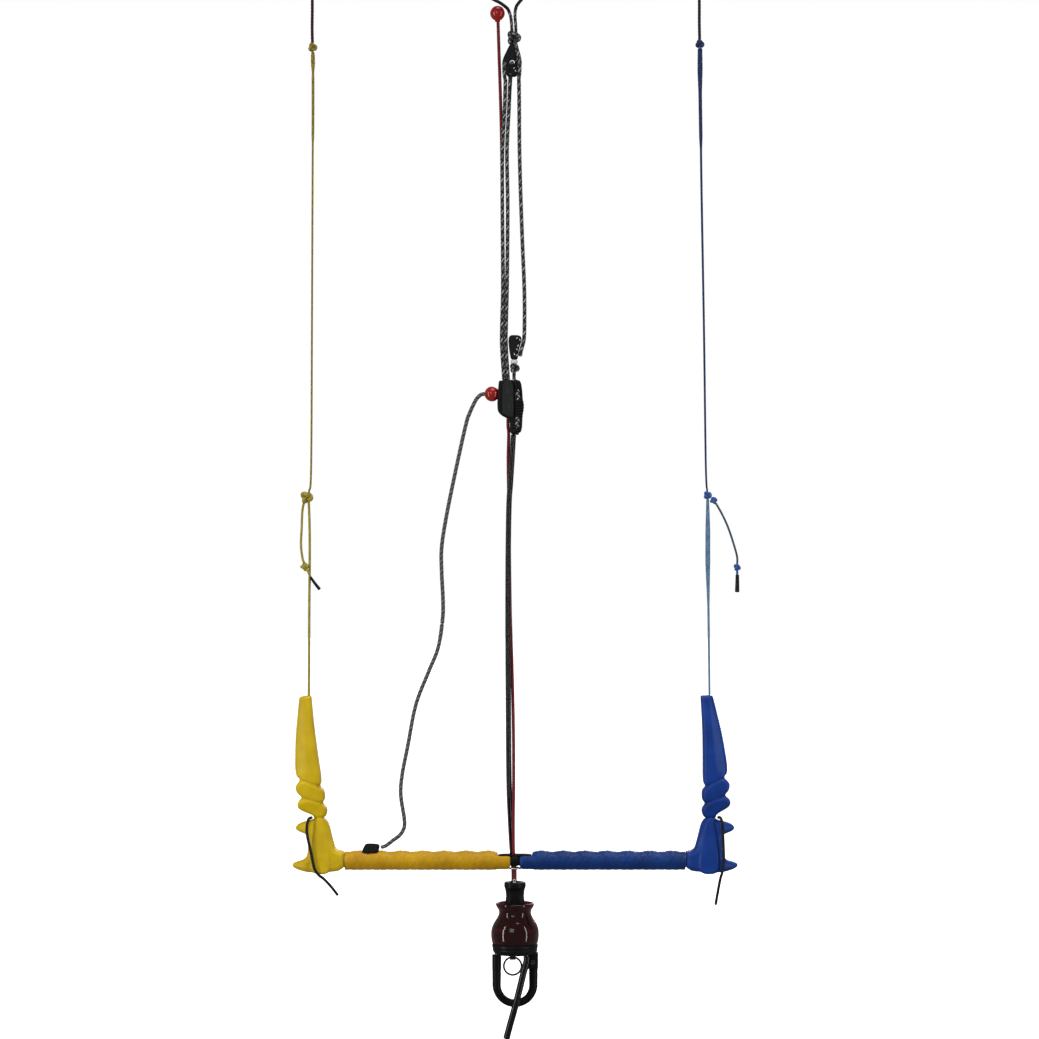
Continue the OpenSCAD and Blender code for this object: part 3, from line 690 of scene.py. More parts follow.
YOKE_LEFT = [(-3.4, 0, 1157), (-4, 0, 1168), (-5, 0, 1178), (-7, -1, 1184.6)]
YOKE_RIGHT = [(1.4, 0, 1157), (0.8, 0, 1168), (0, 0, 1180), (0.6, 0, 1188)]
FRONT_LEFT = [
    (-6.6, -0.8, 1183.5), (-8.6, -3, 1187.4), (-13, -8, 1190.6), (-19, -12, 1194), (-26, -12, 1197.6),
    (-34, -8, 1203), (-42, -4, 1212),
]
FRONT_RIGHT = [(0.4, 0, 1186.5), (1.8, 0, 1191.4), (5, 0, 1196), (9, 0, 1201), (13, 0, 1209), (16, 0, 1219)]
STICK_ROUTE = [
    (14, -12.6, 53.6), (14, -12.6, 51), (14, -12.6, 48), (12.6, -12.6, 42), (9.4, -12.6, 30), (4.6, -12.6, 10),
    (-0.6, -12.6, -10), (-6.2, -12.6, -30), (-10.4, -12.6, -46),
]

# ---- finishes
YELLOW = foam("foam_yellow", (0.70, 0.485, 0.003), (0.56, 0.37, 0.002), (0.80, 0.62, 0.03))
BLUE = foam("foam_blue", (0.003, 0.048, 0.30), (0.002, 0.030, 0.21), (0.03, 0.13, 0.42))
GRIP_YELLOW = foam("grip_yellow", (0.62, 0.345, 0.004), (0.48, 0.25, 0.003), (0.72, 0.46, 0.02))
GRIP_BLUE = foam("grip_blue", (0.002, 0.038, 0.20), (0.0015, 0.022, 0.13), (0.02, 0.085, 0.30))
NYLON = moulded("black_nylon", (0.0018, 0.0018, 0.002), (0.0055, 0.0055, 0.006))
CLEAT = moulded("cleat_nylon", (0.0022, 0.0025, 0.0025), (0.007, 0.0075, 0.0075), 0.46)
PLATE = moulded("cleat_plate", (0.012, 0.0135, 0.013), (0.022, 0.025, 0.024), 0.42)
RUBBER = moulded("loop_rubber", grey(0.0014), grey(0.0045), 0.4)
TUBING = polished("glossy_tube", grey(0.002), grey(0.006), 0.09, 0.5)
STICK = polished("stick_black", grey(0.001), grey(0.002), 0.06, 0.2, Specular_IOR_Level=0.4)
BALL = polished("ball_red", (0.32, 0.006, 0.003), (0.36, 0.011, 0.006), 0.16, 0.08)
BEAD = polished("bead_white", (0.8, 0.79, 0.74), (0.55, 0.54, 0.5), 0.35)
HANDLE = polished(
    "handle_red", (0.05, 0.0003, 0.0008), (0.06, 0.0004, 0.001), 0.05, 0.1, Transmission_Weight=0.75, IOR=1.42,
    Specular_IOR_Level=0.4,
)
STEEL = metal("steel", grey(0.62))
DARK_STEEL = metal("dark_steel", (0.05, 0.05, 0.052), 0.35)
ALLOY = metal("tube_alloy", (0.3, 0.3, 0.32), 0.35)
TAPE = webbing("black_webbing", grey(0.004), grey(0.03))
PATCH = webbing("hook_and_loop", grey(0.003), grey(0.014))
CHARCOAL, ASH, FLECK = (0.012, 0.013, 0.013), (0.05, 0.055, 0.055), (0.42, 0.44, 0.43)
TRIM = braided("trim_rope", [CHARCOAL, FLECK, CHARCOAL, ASH, (0.24, 0.25, 0.25), CHARCOAL], TRIM_CELL)
WHITE_TRIM = braided("cleat_rope", [CHARCOAL, FLECK, ASH, (0.6, 0.62, 0.6), CHARCOAL, ASH, FLECK, CHARCOAL], 2.2)
TAIL = braided("tail_rope", [grey(0.09), (0.16, 0.165, 0.16), grey(0.05), (0.22, 0.23, 0.22)], 3)
KNOT = braided("knot_rope", [CHARCOAL, ASH, grey(0.3), CHARCOAL], 3)
RED_LINE = braided("red_line", [(0.26, 0.016, 0.02), (0.19, 0.01, 0.014)] * 3, 3)
GOLD = (0.50, 0.40, 0.045)
YELLOW_LINE = braided("yellow_line", [GOLD, GOLD, (0.42, 0.33, 0.03), GOLD, (0.56, 0.47, 0.09), GOLD], 3)
YELLOW_SPLICE = braided("yellow_splice", [(0.36, 0.26, 0.03), (0.45, 0.36, 0.04), (0.25, 0.2, 0.02)] * 2, 4)
SKY = (0.17, 0.31, 0.50)
SKY_LINE = braided("sky_line", [SKY, (0.13, 0.25, 0.43), SKY, (0.25, 0.4, 0.58), SKY, SKY], 3)
SLATE_LINE = braided("slate_line", [(0.07, 0.12, 0.17), (0.1, 0.16, 0.22), (0.05, 0.09, 0.14)] * 2, 3)
SKY_KNOT = braided("sky_knot", [(0.04, 0.13, 0.42), (0.06, 0.18, 0.5)] * 2, 3)
NAVY = (0.012, 0.032, 0.13)
NAVY_LINE = braided("navy_line", [NAVY, (0.02, 0.045, 0.16), NAVY, (0.05, 0.09, 0.2), NAVY, NAVY], 3.4)
MAROON = braided("maroon_line", [(0.055, 0.008, 0.012), (0.035, 0.006, 0.01)] * 2, 4)
PLUM = braided("plum_line", [(0.02, 0.012, 0.045), (0.013, 0.008, 0.03)] * 2, 4)
BLACK_LINE = braided("black_line", [grey(0.008), grey(0.014)] * 2, 4)
SHRINK = moulded("heat_shrink", (0.010, 0.009, 0.009), (0.02, 0.018, 0.018), 0.3)
THREAD = Paint("white_thread", (0.7, 0.7, 0.66), 0.7).material


# ---- lines and knots
def add_line(name, route, radius, material, body, slot, *nodes, strands=6, cell=3, sides=16, **looks):
    """A piece of braided line on its body. Returns it and its path."""
    path = smooth(route, 0.45)
    line = rope(name, path, radius, material, strands, cell, sides, **looks)
    return put(line, body, slot, *nodes), path


def free_cord(line, path, diameter, far_end, lay, with_pieces, stiffness="limp"):
    path = path * MM


def add_cord(name, route, radius, material, body, slot, diameter, stop, lay="taut", **looks):
    """A free line that ends in a knot, its stop."""
    free_cord(*add_line(name, route, radius, material, body, slot, **looks), diameter, "knot", lay, [stop])


def add_knot(name, middle, size, high, line, material, body, slot, turn, *nodes):
    """A tight overhand knot: a closed trefoil of rope, size across and high along its line."""
    line = 1.25 * line
    t = np.linspace(0, 2 * math.pi, 120, endpoint=False)
    wide, tall = (size / 2 - line) / 2.6, (high / 2 - line)
    curve = np.column_stack([
        wide * (np.sin(t) + 2 * np.sin(2 * t)), -tall * np.sin(3 * t), wide * (np.cos(t) - 2 * np.cos(2 * t))
    ])
    curve = curve @ np.array(Euler(turn).to_matrix()).T + np.asarray(middle)

    def shape(along, angle):
        return line * (0.9 + 0.1 * braid_height(angle, along, 4, 3))

    return put(sweep(name, curve, shape, 14, material, closed=True), body, slot, *nodes)


def shrunk_tip(along, angle):
    """Shrink tube over a line's end: flared a little at the cut."""
    share = along / along[-1]
    return (1.5 + 0.45 * share + 0.06 * np.cos(2 * angle)) * rounded_ends(along, 0.8)


def add_pigtail(side, route, material, body, slot):
    """The line that ties the bar's line to the flying line, and its stopper knot."""
    end = np.array(route[-1]) + (0, 0, 3.6)
    stop = add_knot(f"pigtail_knot_{side}", end, 8.4, 7.6, 1.7, material, body, slot, (0.3, 0.2, 0.5))
    add_cord(f"pigtail_{side}", route, 1.9, material, body, slot, 3.6, stop, strands=4, cell=4)


def add_left_line():
    at = "left_line", "line_yellow"
    upper = add_knot("adjuster_knot_left", (-250.2, 0, 602), 15, 14, 2.2, YELLOW_LINE, *at, (0.2, 0.4, 0.3),
                     "adjuster_knots_left")
    lower = add_knot("tail_knot_left", (-252.4, 0, 518.6), 9.4, 10, 1.7, YELLOW_LINE, *at, (0.4, -0.5, 0.2))
    top = add_knot("line_knot_left", (-242.8, 0, 1142), 11, 10.5, 2, YELLOW_SPLICE, *at, (0.3, 0.7, 0.2))
    add_cord("leader_left", LEADER_LEFT, 1.6, YELLOW_LINE, *at, 3, upper)
    stops = [(0, 1.3), (0.06, 1.25), (0.795, 1.25), (0.81, 1.75), (0.94, 1.8), (0.955, 1.4), (1, 1.4)]
    parting = [(0, 0), (0.95, 0), (0.972, 1), (0.99, 0.9), (1, 0.3)]
    add_cord("line_left", LINE_LEFT, stops, YELLOW_SPLICE, *at, 3, top, pair=parting)
    add_cord("adjuster_left", ADJUSTER_LEFT, 1.5, YELLOW_LINE, *at, 3, lower, "hanging")
    add_line("adjuster_neck_left", [(-252.4, 0, 518.6), (-248.6, -3.4, 514.2), (-245.2, -3.8, 506)], 1.5,
             YELLOW_LINE, *at)
    tip = smooth([(-245.6, -3.8, 507), (-240, -3, 499), (-234, -2, 491.4)], 0.5)
    put(sweep("adjuster_tip_left", tip, shrunk_tip, 18, SHRINK), *at)
    add_pigtail("left", PIGTAIL_LEFT, MAROON, "left_line", "line_maroon")


def add_right_line():
    at, navy = ("right_line", "line_blue"), ("right_line", "line_navy")
    upper = add_knot("adjuster_knot_right", (231, 0, 604.6), 10, 10, 1.8, SKY_KNOT, *at, (0.3, 0.6, 0.1),
                     "adjuster_knots_right")
    add_knot("branch_knot_right", (238.4, 0, 598), 8.4, 8, 1.6, SKY_KNOT, *at, (0.5, -0.8, 0.3))
    lower = add_knot("tail_knot_right", (266.6, 0, 518), 8.6, 7.6, 1.6, SKY_KNOT, *at, (0.2, 0.5, 0.6))
    top = add_knot("line_knot_right", (221.8, 0, 1146), 10.8, 10, 2, NAVY_LINE, *navy, (0.4, 0.9, 0.2))
    stops = [(0, 1.35), (0.46, 1.45), (0.6, 2.5), (0.68, 3.1), (0.84, 3.05), (0.96, 2.1), (1, 1.8)]
    add_cord("leader_right", LEADER_RIGHT, stops, SKY_LINE, *at, 3, upper)
    stops = [(0, 1.2), (0.1, 1.3), (0.77, 1.45), (0.8, 2.2), (0.93, 2.3), (1, 2.3)]
    parting = [(0, 0), (0.9, 0), (0.95, 0.5), (1, 0.3)]
    add_cord("line_right", LINE_RIGHT, stops, NAVY_LINE, *navy, 3, top, pair=parting)
    add_cord("adjuster_right", ADJUSTER_RIGHT, 1.35, SLATE_LINE, *at, 3, lower, "hanging")
    start = ADJUSTER_TIP_RIGHT[0]
    put(sweep("adjuster_neck_right", smooth([start, (266.7, 0, 508.5)], 0.5), 1.4, 16, SKY_KNOT), *at)
    tip = smooth(ADJUSTER_TIP_RIGHT, 0.5)[10:]
    put(sweep("adjuster_tip_right", tip, lambda along, angle: 1.35 * shrunk_tip(along, angle), 18, SHRINK), *at)
    add_pigtail("right", PIGTAIL_RIGHT, PLUM, *navy)


def add_centre_lines():
    def twin(along, angle):
        barrels = np.maximum(3.3 * np.abs(np.cos(angle)), 0.7 / np.maximum(np.abs(np.sin(angle)), 0.25))
        return barrels * rounded_ends(along, 1)

    put(sweep("depower_tube", smooth(DEPOWER, 1), twin, 48, TUBING), "centre_line", "depower_black")
    add_line("safety_line_lower", SAFETY_LOW, 2.05, RED_LINE, "centre_line", "safety_red")
    ferrule = lathe("safety_ferrule", [
        (0, 138.6), (2.0, 138.6), (2.25, 139), (2.25, 140.2), (2.05, 140.8), (2.05, 142.2), (2.25, 142.8),
        (2.25, 144), (1.8, 144.6), (0, 144.6),
    ], STEEL, (-0.8, -3.2, 0))
    put(ferrule, "centre_line", "steel")


def add_trim_ropes():
    """The three runs of the trim rope and the safety line by them, each given its own mesh.
    The heights listed with them are their anchors', in metres."""
    runs = [
        add_line(f"trim_rope_{letter}", route, ROPE_R, TRIM, "centre_line", "rope_grey", cell=TRIM_CELL, sides=24,
                 relief=0.14)
        for letter, route in zip("abc", (ROPE_A, ROPE_B, ROPE_C))
    ]
    runs.append(add_line("safety_line_upper", SAFETY_HIGH, 2.05, RED_LINE, "centre_line", "safety_red"))
    for (run, _), anchor, keep in zip(runs, (0.743, 0.743, 0.771, 0.743), (0.2265, 0.2265, 0.17, 0.35)):
        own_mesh(run)


def add_tail():
    """The loose end of the trim rope, from its ball to the patch on the grip, in two halves.
    start and end are heights, in metres."""
    path = smooth(TAIL_ROUTE, 0.5)
    middle = len(path) // 2
    for name, part, first, second, start, end in (
        ("trim_tail_upper", path[: middle + 1], "centre_line", "slider", 0.70, float(path[middle][2]) * MM),
        ("trim_tail_lower", path[middle:], "slider", "bar", 0.26, 0.186),
    ):
        run = rope(name, part, ROPE_R, TAIL, 4, 3, 20, 0.14)
        if first == "centre_line":
            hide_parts("trim_tail")
        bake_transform(run)
        free_cord(run, part, 4.6, "object", "hanging", [])


def add_bungee(side, route):
    looks = {"strands": 4, "cell": 4, "relief": 0.1}
    cord, path = add_line(f"bungee_{side}", route, 1.8, BLACK_LINE, "bar", "bungee_black", **looks)
    free_cord(cord, path, 3.6, "bare", "hanging", [], "medium")


def add_top_lines():
    """What lies above the trim block: its knot and the two front lines."""
    ropes, black = ("front_lines", "rope_grey"), ("front_lines", "line_black")
    add_knot("top_knot", (-1.8, 0, 1153.5), 17, 12.5, 2.1, KNOT, *ropes, (0.3, 0.5, 0.2))
    add_line("yoke_left", YOKE_LEFT, 2, KNOT, *ropes, "yoke_ropes", strands=4, cell=4, sides=20)
    add_line("yoke_right", YOKE_RIGHT, 2, KNOT, *ropes, strands=4, cell=4, sides=20)
    for side, route in (("left", FRONT_LEFT), ("right", FRONT_RIGHT)):
        before, end = np.array(route[-2:])
        stop = add_knot(f"front_knot_{side}", end + unit(end - before) * 4, 7.6, 7, 1.6, BLACK_LINE, *black,
                        (0.4, 0.8, 0.1))
        add_cord(f"front_pigtail_{side}", route, 2.1, BLACK_LINE, *black, 4.2, stop, "loose", strands=4, cell=4)


# ---- balls and beads
BALL_R = 9
TRIM_BALL_X, TRIM_BALL_Z = -27.6, 726


def ball_profile(bore, neck=0.0):
    """A ball's outline from its far pole to the rounded mouth of its bore, with a short neck."""
    reach = math.sqrt(BALL_R**2 - (bore + 1.1) ** 2)
    tilt = np.linspace(-math.pi / 2, math.asin(reach / BALL_R), 40)
    points = [(BALL_R * math.cos(a), BALL_R * math.sin(a)) for a in tilt]
    lip = points[-1]
    points += [(bore + 0.9, lip[1] + neck + 0.2), (bore + 0.4, lip[1] + neck + 0.25)]
    points += [(bore, lip[1] + neck - 0.2), (bore, 0), (0, 0)]
    return [(max(r, 0), h) for r, h in points]


def add_balls():
    flip = [(r, -h) for r, h in ball_profile(2.5)]
    put(lathe("trim_ball", flip, BALL, (TRIM_BALL_X, 0, TRIM_BALL_Z), "X"), "centre_line", "ball_red")
    flip = [(r, -h) for r, h in ball_profile(2.1, 1.6)]
    put(lathe("safety_ball", flip, BALL, (-20.8, 0, 1182.8)), "front_lines", "ball_red")
    bead = [(1.6, 0.6), (2, 0), (3.4, 0), (4.2, 0.9), (4.4, 2.3), (4.2, 3.7), (3.4, 4.6), (2, 4.6), (1.6, 4)]
    put(lathe("lower_bead", bead, BEAD, (-1, 0, 762.4)), "centre_line", "bead_white")


# ---- bar ends and floats
BAR_END = [
    (204.4, -11.8), (241.5, -13.8), (252, -12.6), (261, -10.4), (266, -8), (267.8, -5), (266, -2.4), (261, -0.6),
    (254.5, 0.8), (249.6, 5.4), (248, 14), (248.4, 26), (250.4, 32.2), (257, 34.2), (262.6, 36.8), (264, 39.6),
    (261.6, 43.6), (255, 46.6), (247, 48.2), (241, 50.6), (240.6, 51.7), (227.8, 51.7), (223, 45), (218.8, 27),
    (215.4, 14), (208, 11.6), (204.4, 11.2),
]
COLUMN = [(219, -15), (244.4, -15), (243.6, 8), (242.6, 30), (239, 53), (229.6, 53), (226.5, 42), (222.4, 22)]
FLOAT = [
    (6.4, -0.5), (7, 4), (20.8, 11.4), (24.4, 15.6), (24, 21.6), (17.4, 26.8), (23, 32.8), (24.6, 41), (16.9, 48.4),
    (23.4, 55.2), (17.6, 99), (12.1, 125), (8.6, 141.6), (7.4, 146.4), (3, 147), (-3, 147), (-7.2, 146.6),
    (-7, 141), (-6, 110), (-6.4, 77), (-7.5, 42.4), (-4.2, 37.7), (-9, 32.8), (-9.2, 21.4), (-5.2, 17.4), (-10, 11),
    (-9.8, 5), (-6.6, -0.5),
]
FLOAT_DEPTH = np.array([(0, 9), (8, 10.4), (20, 13), (56, 13.4), (110, 10.5), (146, 7.2)])
GROOVES = [((-4.7, 37.8), (17.5, 48.3)), ((-5.8, 17.5), (17.8, 26.6))]


def lean_axes(side, x, z):
    """Out from the float's own axis, and up it from the neck."""
    out, up = side * x - NECK_X, z - NECK_Z
    cosine, sine = math.cos(LEAN[side]), math.sin(LEAN[side])
    return out * cosine - up * sine, out * sine + up * cosine


def float_field(side):
    outline = soften(FLOAT)
    shift = side * EXIT_SHIFT

    def field(x, y, z):
        u, v = lean_axes(side, x, z)
        flat = outline_distance(outline, u, v)
        teeth = 0.35 * np.sin(2 * math.pi * v / 3.4) * bump_at(v - 104, 26)
        flat = flat - teeth * np.clip((u - 6) / 6, 0, 1)
        depth = np.interp(v, *FLOAT_DEPTH.T)
        crease = np.interp(v, (56, 146), (8.5, 2))
        depth = depth - 0.42 * np.maximum(u - crease, 0) * np.clip((v - 44) / 16, 0, 1)
        for (u0, v0), (u1, v1) in GROOVES:
            share = (u - u0) / (u1 - u0)
            off = v - (v0 + (v1 - v0) * np.clip(share, 0, 1))
            ends = 0.2 + 0.8 * np.abs(2 * np.clip(share, 0, 1) - 1)
            depth = depth - 2.6 * ends * bump_at(off, 1.9)
        body = plate(flat, np.abs(y) - depth, 4.5)
        mouth = 2 + 0.8 * bump_at(v - 146, 1.2)
        return np.maximum(body, mouth - np.hypot(u - shift, y))

    return field


def bar_end_field(side):
    outline, column = soften(BAR_END, share=0.2), soften(COLUMN)

    def field(x, y, z):
        u, v = side * x, z - BAR_Z
        flat = outline_distance(outline, u, v)
        taper = 0.45 * np.maximum(u - 251, 0) + 0.12 * np.maximum(v - 14, 0)
        block = plate(flat, np.abs(y) - (12.6 - taper), 6.5)
        rib = outline_distance(column, u, v)
        rib = plate(rib, np.abs(y) - (14.6 - 0.1 * np.maximum(v - 5, 0)), 3)
        shape = merge(block, rib, 2.2)
        seam = bump_at(u - (209.5 + 0.1 * v), 0.6) * 0.5
        return np.maximum(shape + seam, 204.3 - u)

    return field


def add_bar_ends():
    for side, name, paint, slot in ((-1, "left", YELLOW, "float_yellow"), (1, "right", BLUE, "float_blue")):
        mould(f"bar_end_{name}", bar_end_field(side), 0.9, paint, "bar", slot)
        mould(f"float_{name}", float_field(side), 0.9, paint, "bar", slot)


# ---- grips
GRIP_INNER, SADDLE_END, GRIP_OUTER, SADDLE_TOP = 3.4, 21.6, 204, 6.2
BUMP_PITCH, FIRST_BUMP, QUILT_PITCH = 26, 32, 9


def add_grip(side, name, paint, slot):
    """A foam grip: finger bumps along its top, a quilt of diamonds, thinner by the middle."""
    count = 240
    path = np.column_stack([
        side * np.linspace(GRIP_INNER, GRIP_OUTER, count), np.zeros(count), np.full(count, BAR_Z)
    ])

    def shape(along, angle):
        across = along + GRIP_INNER
        upward = -np.cos(angle) if side > 0 else np.cos(angle)
        full = np.clip((across - SADDLE_END + 2) / 6, 0, 1)
        full = full * full * (3 - 2 * full)
        wide = 10.3 + 0.7 * full
        bumps = 0.5 + 0.5 * np.cos(2 * math.pi * (across - FIRST_BUMP) / BUMP_PITCH)
        wide = wide + full * bumps * 1.5 * np.clip(0.35 + 0.65 * upward, 0.12, 1)
        climb, turn = across / QUILT_PITCH, 4 * angle / (2 * math.pi)
        quilt = np.minimum(*(np.abs(np.sin(math.pi * (climb + way * turn))) for way in (1, -1)))
        wide = wide + full * 0.5 * (np.minimum(quilt * 2.2, 1) - 1)
        near = np.clip((across - GRIP_INNER) / 7, 0, 1)
        wide = wide * (1 - 0.8 * (1 - np.sqrt(1 - (1 - near) ** 2)))
        flat = np.where(upward > 0.3, SADDLE_TOP / np.maximum(upward, 0.3), np.inf)
        return np.where(across < SADDLE_END - 1, np.minimum(wide, flat), wide)

    grip = sweep(f"grip_{name}", path, shape, 96, paint)
    bore = np.array([(0, 0, BAR_Z), (side * 30, 0, BAR_Z)])
    room = [(8.3 * math.cos(a), 8.3 * math.sin(a)) for a in np.linspace(-math.pi / 2, math.pi / 2, 24)]
    grip = cut_away(grip, sweep("bore", bore, 8.1, 64, NYLON),
                    lathe("ring_room", [(max(r, 0), h) for r, h in room], NYLON, (0, 0, RING_Z), segments=48))
    put(grip, "bar", slot)


def add_dock_patch():
    outline = soften([
        (-184.6, 175.4), (-180.5, 184.6), (-178, 186.6), (-164.6, 186.2), (-162.2, 184), (-163.6, 178), (-165, 175.4),
    ], share=0.2)

    def field(x, y, z):
        flat = outline_distance(outline, x, z)
        depth = np.abs(y) - np.interp(z, (175, 186), (8.6, 5))
        hug = 11.9 - np.hypot(y, z - BAR_Z)
        fuzz = 0.18 * np.sin(x * 5.1) * np.sin(y * 4.7) * np.sin(z * 5.3)
        return np.maximum(plate(flat, depth, 2.6), hug) + fuzz

    mould("dock_patch", field, 0.5, PATCH, "bar", "tab_black")


# ---- quick release and chicken loop
HINGE_X, HINGE_Z, PIN_R = 21, 45, 2.1
LOOP_R, LOOP_Z = 22, 17


def turned(profile, x, y, z):
    """Distance to a profile of (radius, height) turned about the upright axis."""
    return outline_distance(profile, np.hypot(x, y), z)


def box_distance(x, y, z, middle, half, edge):
    a, b, c = (np.abs(p - m) - h + edge for p, m, h in zip((x, y, z), middle, half))
    outside = np.sqrt(np.maximum(a, 0) ** 2 + np.maximum(b, 0) ** 2 + np.maximum(c, 0) ** 2)
    return outside + np.minimum(np.maximum(a, np.maximum(b, c)), 0) - edge


def add_cup():
    profile = soften([
        (-5, 54), (21, 54), (24.4, 54.6), (26.6, 58), (27.5, 63), (27.4, 66.4), (26.2, 67.2), (-5, 67.2),
    ], share=0.2)

    def field(x, y, z):
        cup = turned(profile, x, y, z)
        clevis = box_distance(x, y, z, (20.3, 0, 46.5), (7.5, 8, 9.6), 2)
        shape = merge(cup, clevis, 2.5)
        slot = box_distance(x, y, z, (22, 0, 43.6), (11, 5.5, 8.6), 1)
        tongue = box_distance(x, y, z, (-21, 0, 57), (5, 3.5, 5), 0.5)
        groove = 0.5 * bump_at(z - 61.5, 0.7) * (np.hypot(x, y) > 20)
        shape = carve(shape, slot, 0.8)
        shape = np.maximum(shape, PIN_R - np.hypot(x - HINGE_X, z - HINGE_Z))
        shape = carve(shape, tongue, 0.6)
        eye = np.maximum(np.hypot(x, y) - 4.7, z - 58)
        return carve(shape, eye, 0.4) + groove

    mould("lower_cup", field, 0.7, NYLON, "housing", "black_plastic")
    for side in (-1, 1):
        head = [(0, 8.2), (2.9, 8.2), (3.3, 8.5), (3.1, 9.3), (1.6, 9.8), (1.3, 9.3), (0, 9.2)]
        cap = lathe(f"pin_head_{'front' if side < 0 else 'back'}", [(r, side * h) for r, h in head],
                    DARK_STEEL, (HINGE_X, 0, HINGE_Z), "Y", 48)
        put(cap, "housing", "steel")


def add_loop():
    """The chicken loop: a rubber-covered bow with a hinge eye and a moulding line round it."""

    def field(x, y, z):
        bow = np.where(z < LOOP_Z, np.hypot(x, z - LOOP_Z) - LOOP_R, np.abs(x) - LOOP_R)
        tube = np.sqrt(bow**2 + (0.96 * y) ** 2) - np.interp(z, (0, 40), (4.6, 5.3))
        fin = 0.3 * bump_at(y, 0.35)
        left = np.maximum(tube, z - 53.4)
        right = np.maximum(tube, z - HINGE_Z)
        shape = np.where(x < 0, left, right)
        eye = plate(np.hypot(x - HINGE_X, z - HINGE_Z) - 6, np.abs(y) - 4.9, 1.2)
        shape = merge(shape, eye, 2)
        step = 0.35 * bump_at(z - 33, 0.6)
        return np.maximum(shape - fin + step, PIN_R - np.hypot(x - HINGE_X, z - HINGE_Z))

    mould("chicken_loop", field, 0.7, RUBBER, "hook_loop", "loop_rubber")


def add_handle():
    outer = smooth([
        (25.2, 0, 67.5), (27.2, 0, 67.7), (28.4, 0, 73), (28.7, 0, 78), (28.2, 0, 84), (26.1, 0, 90), (22.5, 0, 96),
        (20, 0, 100.5), (19.2, 0, 104), (20, 0, 107.5), (22.2, 0, 111), (22.9, 0, 112.8), (22.9, 0, 114.4),
        (22, 0, 115.5), (20.8, 0, 114.9), (18.6, 0, 110.5), (17, 0, 107), (16.6, 0, 103), (17, 0, 100),
        (20.1, 0, 94), (23.7, 0, 89), (25.5, 0, 86.4), (23, 0, 86), (10.05, 0, 86), (10.05, 0, 82), (23, 0, 82),
        (25.9, 0, 81.4), (26.1, 0, 78), (25.7, 0, 73), (25.2, 0, 67.5),
    ], 0.8)
    put(lathe("release_handle", outer[:, ::2], HANDLE, segments=128), "release", "handle_red")


def add_spring():
    """The spring in the release handle, which the handle presses up against the cap."""
    bottom, top = (corner[2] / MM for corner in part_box("return_spring"))
    wire, tall = 0.7, top - bottom
    turn = np.linspace(0, 8 * math.pi, 161)
    climb = np.linspace(bottom + wire, top - wire, len(turn))
    path = np.column_stack([11.9 * np.cos(turn), 11.9 * np.sin(turn), climb])
    spring = put(sweep("return_spring", path, wire, 10, STEEL), "housing", "steel")
    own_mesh(spring)


def add_collar():
    profile = soften([
        (7, 122), (5, 120), (-4, 120), (-4, 111), (10.8, 111), (11.8, 114), (11.5, 118), (10.8, 124), (11.3, 129),
        (12.2, 133.4), (13, 134.6), (13, 139.6), (12.2, 140.6), (8.4, 140.6), (7, 139.4),
    ], share=0.16)

    def field(x, y, z):
        shape = turned(profile, x, y, z)
        window = box_distance(x, np.abs(y), z, (0, 12.6, 122.4), (7.4, 3, 9.4), 1.4)
        shape = carve(shape, window, 0.7)
        ribs = 0.5 * bump_at(np.abs(x) - 9.2, 0.6) * (z < 132)
        return shape - ribs

    mould("spin_collar", field, 0.55, NYLON, "centre_line", "black_plastic")


def add_stick():
    path = smooth(STICK_ROUTE, 0.8)
    stick = sweep("donkey_stick", path, lambda along, angle: 4 * rounded_ends(along, 0.9), 40, STICK)
    put(stick, "stick", "stick_black")
    end, back = path[-1], unit(path[-4] - path[-1])
    bore = sweep("stick_bore", np.array([end - back * 0.15, end + back * 0.1]), 2.6, 32, SHRINK)
    put(bore, "stick", "stick_black")


# ---- cleat, tabs and block
def stitches(name, points, body):
    """Short threads lying on a tape, joined in one piece. Each point gives its place and its slant."""
    parts = []
    for middle, slant in points:
        along = np.array([math.sin(slant), 0, math.cos(slant)]) * 1.3
        path = smooth(np.array(middle) + [-along, (0, 0, 0), along], 0.3)
        parts.append(sweep("stitch", path, lambda a, t: 0.55 * rounded_ends(a, 0.6), 8, THREAD))
    return put(join(name, parts), body, "tab_black")


def join(name, parts):
    with bpy.context.temp_override(active_object=parts[0], selected_editable_objects=parts):
        bpy.ops.object.join()
    parts[0].name = name
    return parts[0]


def slab(name, outline, half, edge, step, material, body, slot, *nodes, extra=None, middle=0):
    """A rounded plate in the plane of the lines. extra(x, y, z, distance) changes its field."""
    outline = soften(outline, share=0.18)

    def field(x, y, z):
        shape = plate(outline_distance(outline, x, z), np.abs(y - middle) - half, edge)
        return extra(x, y, z, shape) if extra else shape

    low, high = np.insert(outline.min(0), 1, middle - half), np.insert(outline.max(0), 1, middle + half)
    return put(surface(name, field, low, high, step, material), body, slot, *nodes)


